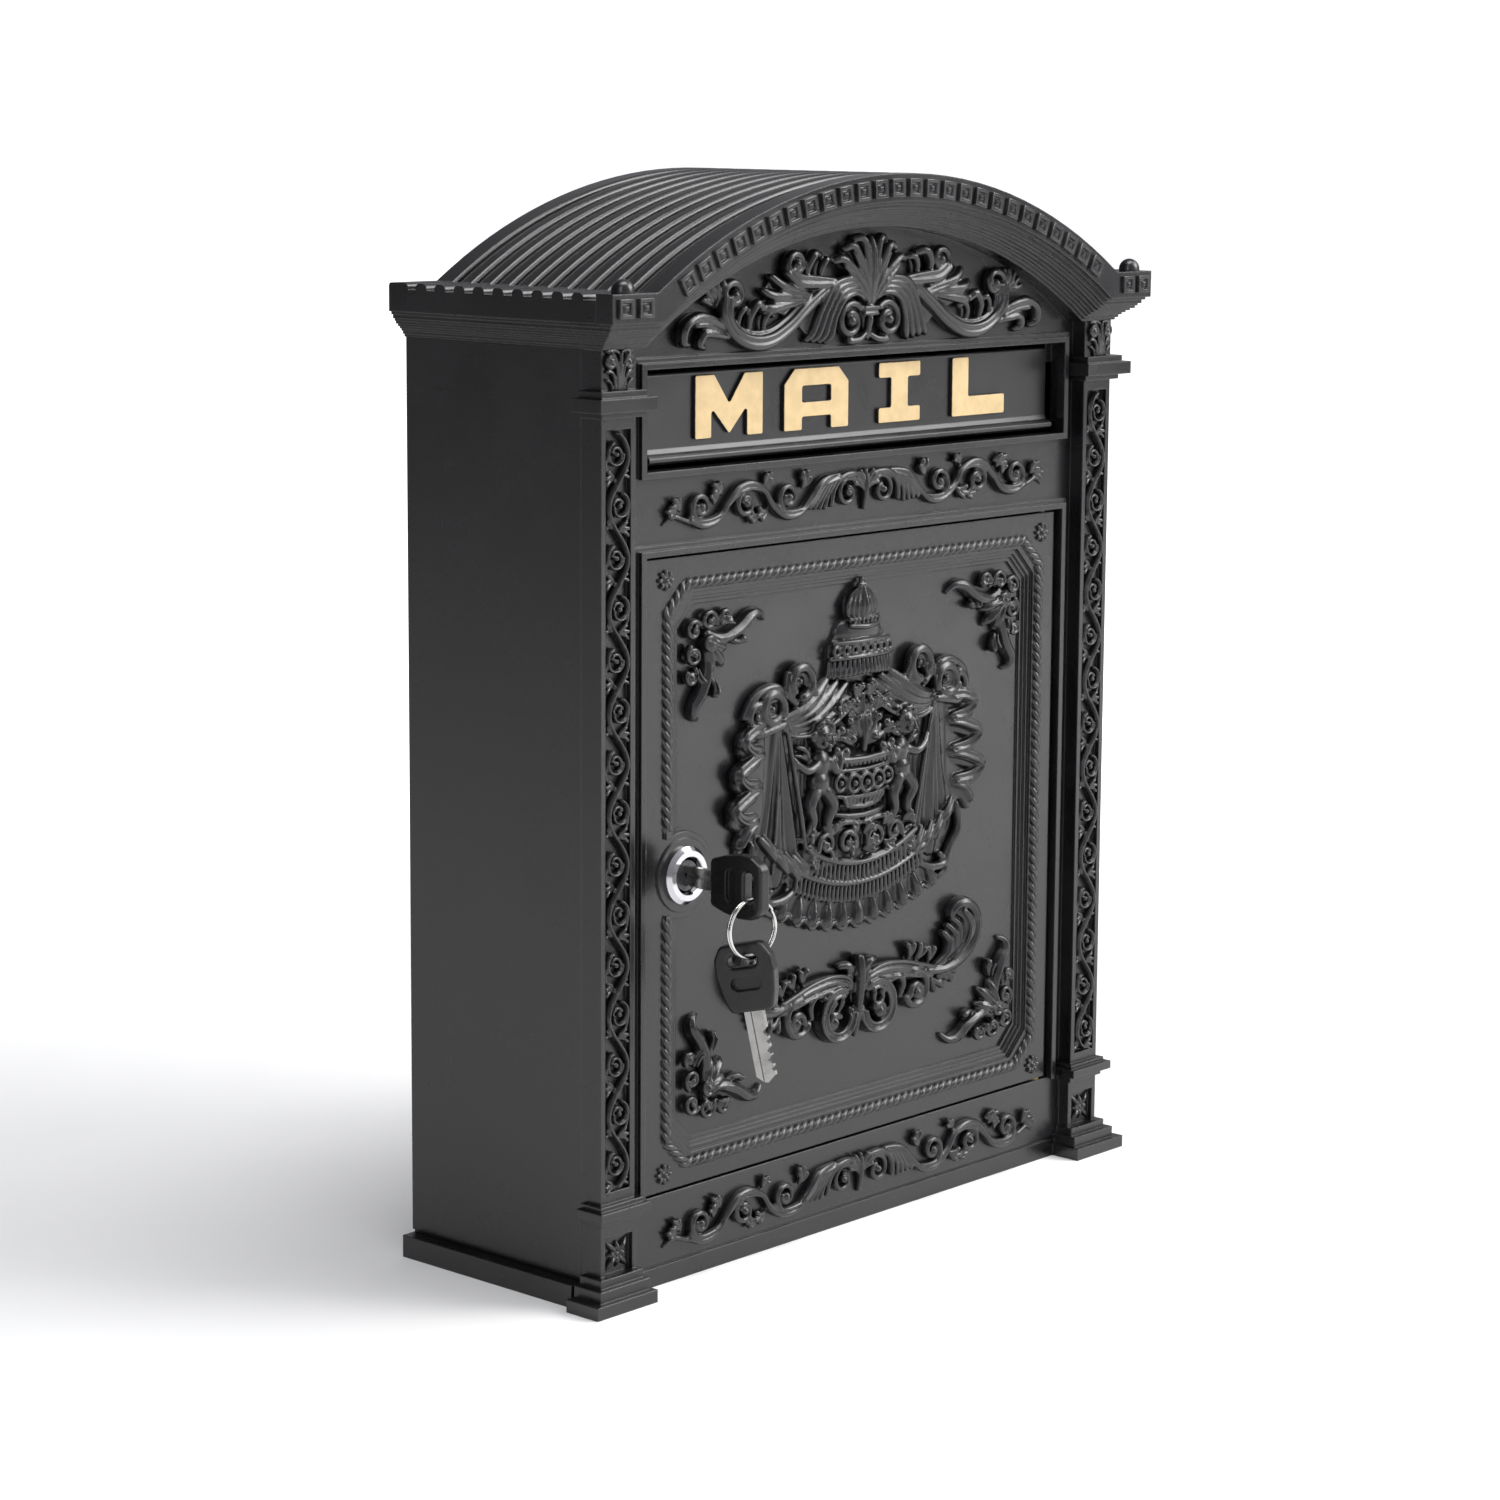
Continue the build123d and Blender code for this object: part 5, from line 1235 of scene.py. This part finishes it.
def add_rope():
    """Three twisted strands that make the rope moulding round the door's field."""
    radius = shape().rope / MM
    line = rope_path()
    strands, lay, core, fat = 3, 12.6, 0.50, 0.50
    deselect_all()
    bpy.ops.curve.primitive_nurbs_path_add(location=(0, 0, 0))
    rope = bpy.context.object
    data = rope.data
    data.splines.clear()
    data.dimensions = "3D"
    data.bevel_depth = MM
    data.bevel_resolution = 2
    data.use_fill_caps = True
    for strand in range(strands):
        spline = data.splines.new("POLY")
        spline.points.add(len(line) - 1)
        run = 0.0
        for i, (x, z) in enumerate(line):
            x0, z0 = line[max(i - 1, 0)]
            x1, z1 = line[min(i + 1, len(line) - 1)]
            length = math.hypot(x1 - x0, z1 - z0) or 1.0
            nx, nz = -(z1 - z0) / length, (x1 - x0) / length
            if i:
                run += math.hypot(x - x0, z - z0)
            taper = min(1.0, 0.4 + 0.2 * min(i, len(line) - 1 - i))
            angle = 2 * math.pi * (strand / strands - run / lay)
            side, out = (radius * core * taper * f(angle) for f in (math.cos, math.sin))
            spline.points[i].co = ((x + nx * side) * MM, (DOOR_FACE_Y + ROPE_SUNK - out) * MM,
                                   (z + nz * side) * MM, 1.0)
            spline.points[i].radius = radius * fat * taper
    rope.name = "door_rope"
    only(rope)
    bpy.ops.object.convert(target="MESH")
    rope = bpy.context.object
    bpy.ops.object.shade_smooth()
    dress(rope, "door_leaf", material("ornament"))


def add_rosettes():
    first = relief(moved(rosette_leafwork(), -115.6, 277.2), DOOR_FACE_Y, "rosette_1", 0.3, 1.2, 1, 0.6)
    shift = Matrix.Translation((0, 0, (44.4 - 277.2) * MM))
    pieces = [first, copy_of(first, MIRROR_X, "rosette_2"), copy_of(first, shift, "rosette_3"),
              copy_of(first, shift @ MIRROR_X, "rosette_4")]
    for piece in pieces:
        dress(piece, "door_leaf", material("ornament"))


def add_corner_sprays():
    first = relief(corner_leafwork(), DOOR_FIELD_Y, "corner_spray_1", 0.36, shape().relief, 1, 0.5)
    flip = Matrix.Translation((0, 0, 324.8 * MM)) @ Matrix.Diagonal((1.0, 1.0, -1.0, 1.0))
    pieces = [first, copy_of(first, MIRROR_X, "corner_spray_2"), copy_of(first, flip, "corner_spray_3"),
              copy_of(first, flip @ MIRROR_X, "corner_spray_4")]
    for piece in pieces:
        dress(piece, "door_leaf", material("ornament"))


def add_lower_scroll():
    piece = relief(lower_scrollwork(), DOOR_FIELD_Y, "door_scroll", 0.42, shape().relief, 1, 0.5)
    dress(piece, "door_leaf", material("ornament"))


def add_emblem():
    piece = relief(canopy_strokes(), DOOR_FIELD_Y, "door_canopy", 0.42, 1.2, 1, 0.32,
                   canopy_bodies(DOOR_FIELD_Y))
    dress(piece, "door_leaf", material("ornament"))


WIRE_RADIUS = 0.62
WIRE_INSET = 0.72          # from the ring's outer rim to the wire's centre
WIRE_OFFSET = 0.60         # of each turn from the ring's middle plane
CROSSING_STEEP = 3.4       # how sharply the wire passes from one turn to the other


def add_split_ring():
    """Two touching turns of round wire that replace the plain ring."""
    low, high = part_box("split_ring")
    centre = (low + high) / 2
    radius = (high.z - low.z) / 2 - WIRE_INSET * MM
    deselect_all()
    bpy.ops.curve.primitive_nurbs_path_add(location=(0, 0, 0))
    coil = bpy.context.object
    data = coil.data
    data.splines.clear()
    data.dimensions = "3D"
    data.bevel_depth = WIRE_RADIUS * MM
    data.bevel_resolution = 3
    data.use_fill_caps = True
    turns, per_turn = 1.94, 64
    count = int(turns * per_turn)
    spline = data.splines.new("POLY")
    spline.points.add(count)
    for k, point in enumerate(spline.points):
        t = k / count
        angle = 2 * math.pi * turns * t + math.radians(35)
        step = (t - 0.5) * turns
        crossing = math.sin(math.pi * step) if abs(step) < 0.5 else math.copysign(1, step)
        depth = math.tanh(CROSSING_STEEP * crossing) * WIRE_OFFSET
        point.co = (radius * math.cos(angle), depth * MM, radius * math.sin(angle), 1.0)
    only(coil)
    bpy.ops.object.convert(target="MESH")
    coil = bpy.context.object
    yaw = math.radians(-8.0)
    coil.data.transform(Matrix.Translation(centre) @ Matrix.Rotation(yaw, 4, "Z"))
    coil.name = "split_ring_coil"
    bpy.ops.object.shade_smooth()
    dress(coil, "ring", material("nickel"))
    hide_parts("split_ring")


def dress_cad():
    """Give every CAD node its finish."""
    table = {
        "casting": ["front_frame", "side_panel_left", "side_panel_right", "roof", "roof_knobs", "door"],
        "flap paint": ["slot_flap"],
        "sheet": ["back_panel", "bottom_panel"],
        "letters": ["letter_m", "letter_a", "letter_i", "letter_l"],
        "chrome": ["lock_housing"],
        "plug": ["lock_plug"],
        "zinc": ["lock_washer", "lock_nut", "lock_cam", "cam_screw", "hinge_pin_lower", "hinge_pin_upper",
                 "flap_rod", "side_screws", "back_screws", "roof_screws", "bottom_screws"],
        "brass": ["hinge_washer"],
        "key plastic": ["key_bow", "spare_key_bow"],
        "blade": ["key_blade", "spare_key_blade"],
        "nickel": ["split_ring"],
    }
    for finish_name, names in table.items():
        for name in names:
            mesh = NODES[name].data
            mesh.materials.clear()
            mesh.materials.append(material(finish_name))


# ---------------------------------------------------------------- operators

class MAILBOX_OT_finishes(bpy.types.Operator):
    """Build every material and put it on the CAD castings and hardware"""
    bl_idname = "mailbox.finishes"
    bl_label = "Finishes"

    def execute(self, context):
        look = finish()
        paint = tuple(look.paint)
        rough = look.paint_roughness
        letter_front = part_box("letter_m")[0].y
        low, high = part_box("lock_plug")
        lock_well = ((low.x + high.x) / 2, (low.z + high.z) / 2, LOCK_WELL_RADIUS)
        MATERIALS.update({
            # In the paint finishes, the number after the roughness lightens outer edges as worn paint and a
            # painted highlight, and the hollow amount darkens hollows as painted shade.
            "casting": paint_material("cast paint", paint, rough, 0.12, painted_hollow_shade=0.2, edge=0.0007),
            "ornament": paint_material("ornament paint", paint, rough + 0.03, 0.5, peel=0.6, painted_hollow_shade=0.6),
            "flap paint": paint_material("flap paint", paint, rough + 0.04, 0.15, edge=0.0006),
            "sheet": paint_material("sheet paint", paint, rough + 0.08, 0.3, peel=0.5),
            "letters": letter_material(tuple(look.letters), paint, letter_front),
            "chrome": metal_material("lock chrome", (0.55, 0.55, 0.57), 0.13, 0.25, (400, 400, 400), 0.03,
                                     lock_well),
            "plug": metal_material("plug steel", (0.09, 0.09, 0.095), 0.34, 0.5, (900, 60, 900), 0.2),
            "zinc": metal_material("zinc plate", (0.62, 0.62, 0.60), 0.33, 0.6, (500, 500, 500)),
            "brass": metal_material("washer brass", (0.30, 0.22, 0.11), 0.42, 0.6, (500, 500, 500)),
            "blade": metal_material("key blade", (0.36, 0.355, 0.345), 0.22, 0.6, (1900, 90, 1900), 0.25),
            "nickel": metal_material("ring nickel", (0.62, 0.61, 0.59), 0.16, 0.3, (700, 700, 700), 0.06),
            "key plastic": plastic_material(),
        })
        dress_cad()
        return {"FINISHED"}


def piece_operator(idname, label, text, action):
    """An operator class that builds one piece or group of like pieces."""
    def execute(self, context):
        action()
        return {"FINISHED"}
    return type("MAILBOX_OT_" + idname, (bpy.types.Operator,), {
        "bl_idname": "mailbox." + idname, "bl_label": label, "__doc__": text, "execute": execute})


PIECES = [
    piece_operator("arch_leafwork", "Arch Leafwork", "Model the leaf ornament under the arch",
                   add_arch_ornament),
    piece_operator("friezes", "Rail Friezes", "Model the running scrolls on the two rails", add_friezes),
    piece_operator("pilaster_vines", "Pilaster Vines", "Model the vines in the two pilasters",
                   add_pilaster_vines),
    piece_operator("capitals", "Capitals", "Model the leaf capitals of the pilasters", add_capitals),
    piece_operator("stars", "Pedestal Stars", "Model the stars in the pedestals", add_stars),
    piece_operator("bosses", "Fascia Bosses", "Model the square bosses along arch and cornice", add_bosses),
    piece_operator("rope", "Door Rope", "Model the rope moulding of the door", add_rope),
    piece_operator("rosettes", "Rosettes", "Model the four rosettes at the door's corners", add_rosettes),
    piece_operator("sprays", "Corner Sprays", "Model the four sprays in the door's field", add_corner_sprays),
    piece_operator("scroll", "Door Scroll", "Model the scroll below the canopy", add_lower_scroll),
    piece_operator("canopy", "Door Canopy", "Model the canopy emblem of the door", add_emblem),
    piece_operator("split_ring", "Split Ring", "Model the two turns of the key ring", add_split_ring),
]


# the camera: its lens in millimetres, its place in millimetres and its aim in degrees
SENSOR = 36.0
LENS = 89.2704
LENS_SHIFT = (-0.0533333, -0.0533333)
EYE = (-1128.4, -1069.2, 455.9)
LOOK = {"yaw": 48.85, "pitch": -8.63, "roll": 0.56}

ROOM_LIGHT = (0.05, 0.55)    # of the sky, from its dim side to its bright one
WHITE_STRENGTH = 1.1         # of the white that the camera sees past the floor


def add_camera():
    data = bpy.data.cameras.new("view")
    data.sensor_width = SENSOR
    data.lens = LENS
    data.shift_x, data.shift_y = LENS_SHIFT
    data.clip_start, data.clip_end = 0.05, 60.0
    camera = bpy.data.objects.new("view", data)
    bpy.context.scene.collection.objects.link(camera)
    yaw, pitch, roll = (math.radians(LOOK[k]) for k in ("yaw", "pitch", "roll"))
    ahead = Vector((math.sin(yaw) * math.cos(pitch), math.cos(yaw) * math.cos(pitch), math.sin(pitch)))
    right = Vector((math.cos(yaw), -math.sin(yaw), 0))
    up = right.cross(ahead)
    tilted_right = right * math.cos(roll) + up * math.sin(roll)
    tilted_up = up * math.cos(roll) - right * math.sin(roll)
    turn = Matrix((tilted_right, tilted_up, -ahead)).transposed().to_4x4()
    camera.matrix_world = Matrix.Translation([v * MM for v in EYE]) @ turn
    bpy.context.scene.camera = camera


def add_lamp(name, place, target, size, power, colour=(1, 1, 1)):
    data = bpy.data.lights.new(name, "AREA")
    data.shape = "RECTANGLE"
    data.size, data.size_y = size
    data.energy = power
    data.color = colour
    lamp = bpy.data.objects.new(name, data)
    bpy.context.scene.collection.objects.link(lamp)
    lamp.location = place
    aim = (Vector(target) - Vector(place)).to_track_quat("-Z", "Y")
    lamp.rotation_euler = aim.to_euler()


class MAILBOX_OT_stage(bpy.types.Operator):
    """Lay the pale floor and set lights and camera"""
    bl_idname = "mailbox.stage"
    bl_label = "Stage"

    def execute(self, context):
        deselect_all()
        bpy.ops.mesh.primitive_grid_add(x_subdivisions=4, y_subdivisions=4, size=14.0, location=(0, 0, 0))
        floor = bpy.context.object
        floor.name = "studio_floor"
        made, tree, shader, place = start_material("studio floor", Specular_IOR_Level=0.15)
        tone = colour_mix(tree, noise(tree, place, 6, 3), (0.83, 0.83, 0.83), (0.87, 0.87, 0.87))
        tree.links.new(tone, shader.inputs["Base Color"])
        tree.links.new(spread(tree, noise(tree, place, 30, 3), 0.3, 0.7, 0.65, 0.8),
                       shader.inputs["Roughness"])
        # the backdrop runs out to plain white away from the object
        away = node(tree, "ShaderNodeVectorMath", operation="LENGTH")
        tree.links.new(place, away.inputs[0])
        white = spread(tree, away.outputs["Value"], 0.35, 1.1, 0.0, 1.0)
        eye = node(tree, "ShaderNodeLightPath").outputs["Is Camera Ray"]
        tree.links.new(maths(tree, "MULTIPLY", white, eye), shader.inputs["Emission Color"])
        shader.inputs["Emission Strength"].default_value = WHITE_STRENGTH
        floor.data.materials.append(made)
        world = bpy.data.worlds.new("studio")
        context.scene.world = world
        world.use_nodes = True
        tree = world.node_tree
        sky = tree.nodes["Background"]
        # the room is brighter to the right and in front; the backdrop itself stays white
        way = node(tree, "ShaderNodeTexCoord")
        side = node(tree, "ShaderNodeVectorMath", operation="DOT_PRODUCT")
        side.inputs[1].default_value = (0.70, -0.70, 0.15)
        tree.links.new(way.outputs["Generated"], side.inputs[0])
        room = spread(tree, side.outputs["Value"], -0.9, 0.95, *ROOM_LIGHT)
        seen = node(tree, "ShaderNodeLightPath").outputs["Is Camera Ray"]
        keep = maths(tree, "MULTIPLY", room, maths(tree, "SUBTRACT", 1.0, seen))
        tree.links.new(maths(tree, "ADD", keep, maths(tree, "MULTIPLY", seen, WHITE_STRENGTH)),
                       sky.inputs["Strength"])
        sky.inputs["Color"].default_value = (0.95, 0.955, 1.0, 1.0)
        context.scene.view_settings.view_transform = "Standard"
        add_lamp("key", (1.7, -2.2, 1.5), (0, -0.05, 0.2), (1.2, 1.4), 42, (1.0, 0.985, 0.965))
        add_lamp("top", (-0.1, -0.4, 2.4), (0, 0, 0.2), (1.6, 0.9), 36)
        add_lamp("left strip", (-2.0, -0.9, 1.1), (0, -0.1, 0.2), (0.25, 1.8), 12, (0.93, 0.95, 1.0))
        add_lamp("floor fill", (1.6, -1.5, 1.7), (1.4, -1.3, 0), (2.0, 2.0), 62)
        add_camera()
        return {"FINISHED"}


class MAILBOX_PT_panel(bpy.types.Panel):
    """Sidebar list of everything the mailbox is made of"""
    bl_label = "Wall Mailbox"
    bl_idname = "MAILBOX_PT_panel"
    bl_space_type = "VIEW_3D"
    bl_region_type = "UI"
    bl_category = "Mailbox"

    def draw(self, context):
        layout = self.layout
        for settings in (context.scene.mailbox_finish, context.scene.mailbox_shape):
            box = layout.box()
            for name in settings.__annotations__:
                box.prop(settings, name)
        column = layout.column(align=True)
        for step in STEPS:
            column.operator(step.bl_idname)


STEPS = [MAILBOX_OT_finishes, *PIECES, MAILBOX_OT_stage]
CLASSES = [MailboxFinish, MailboxShape, *STEPS, MAILBOX_PT_panel]


def register():
    for cls in CLASSES:
        bpy.utils.register_class(cls)
    bpy.types.Scene.mailbox_finish = PointerProperty(type=MailboxFinish)
    bpy.types.Scene.mailbox_shape = PointerProperty(type=MailboxShape)


def unregister():
    del bpy.types.Scene.mailbox_shape
    del bpy.types.Scene.mailbox_finish
    for cls in reversed(CLASSES):
        bpy.utils.unregister_class(cls)


def main():
    register()
    for step in STEPS:
        name = step.bl_idname.split(".")[1]
        getattr(bpy.ops.mailbox, name)()


if __name__ == "__main__":
    main()
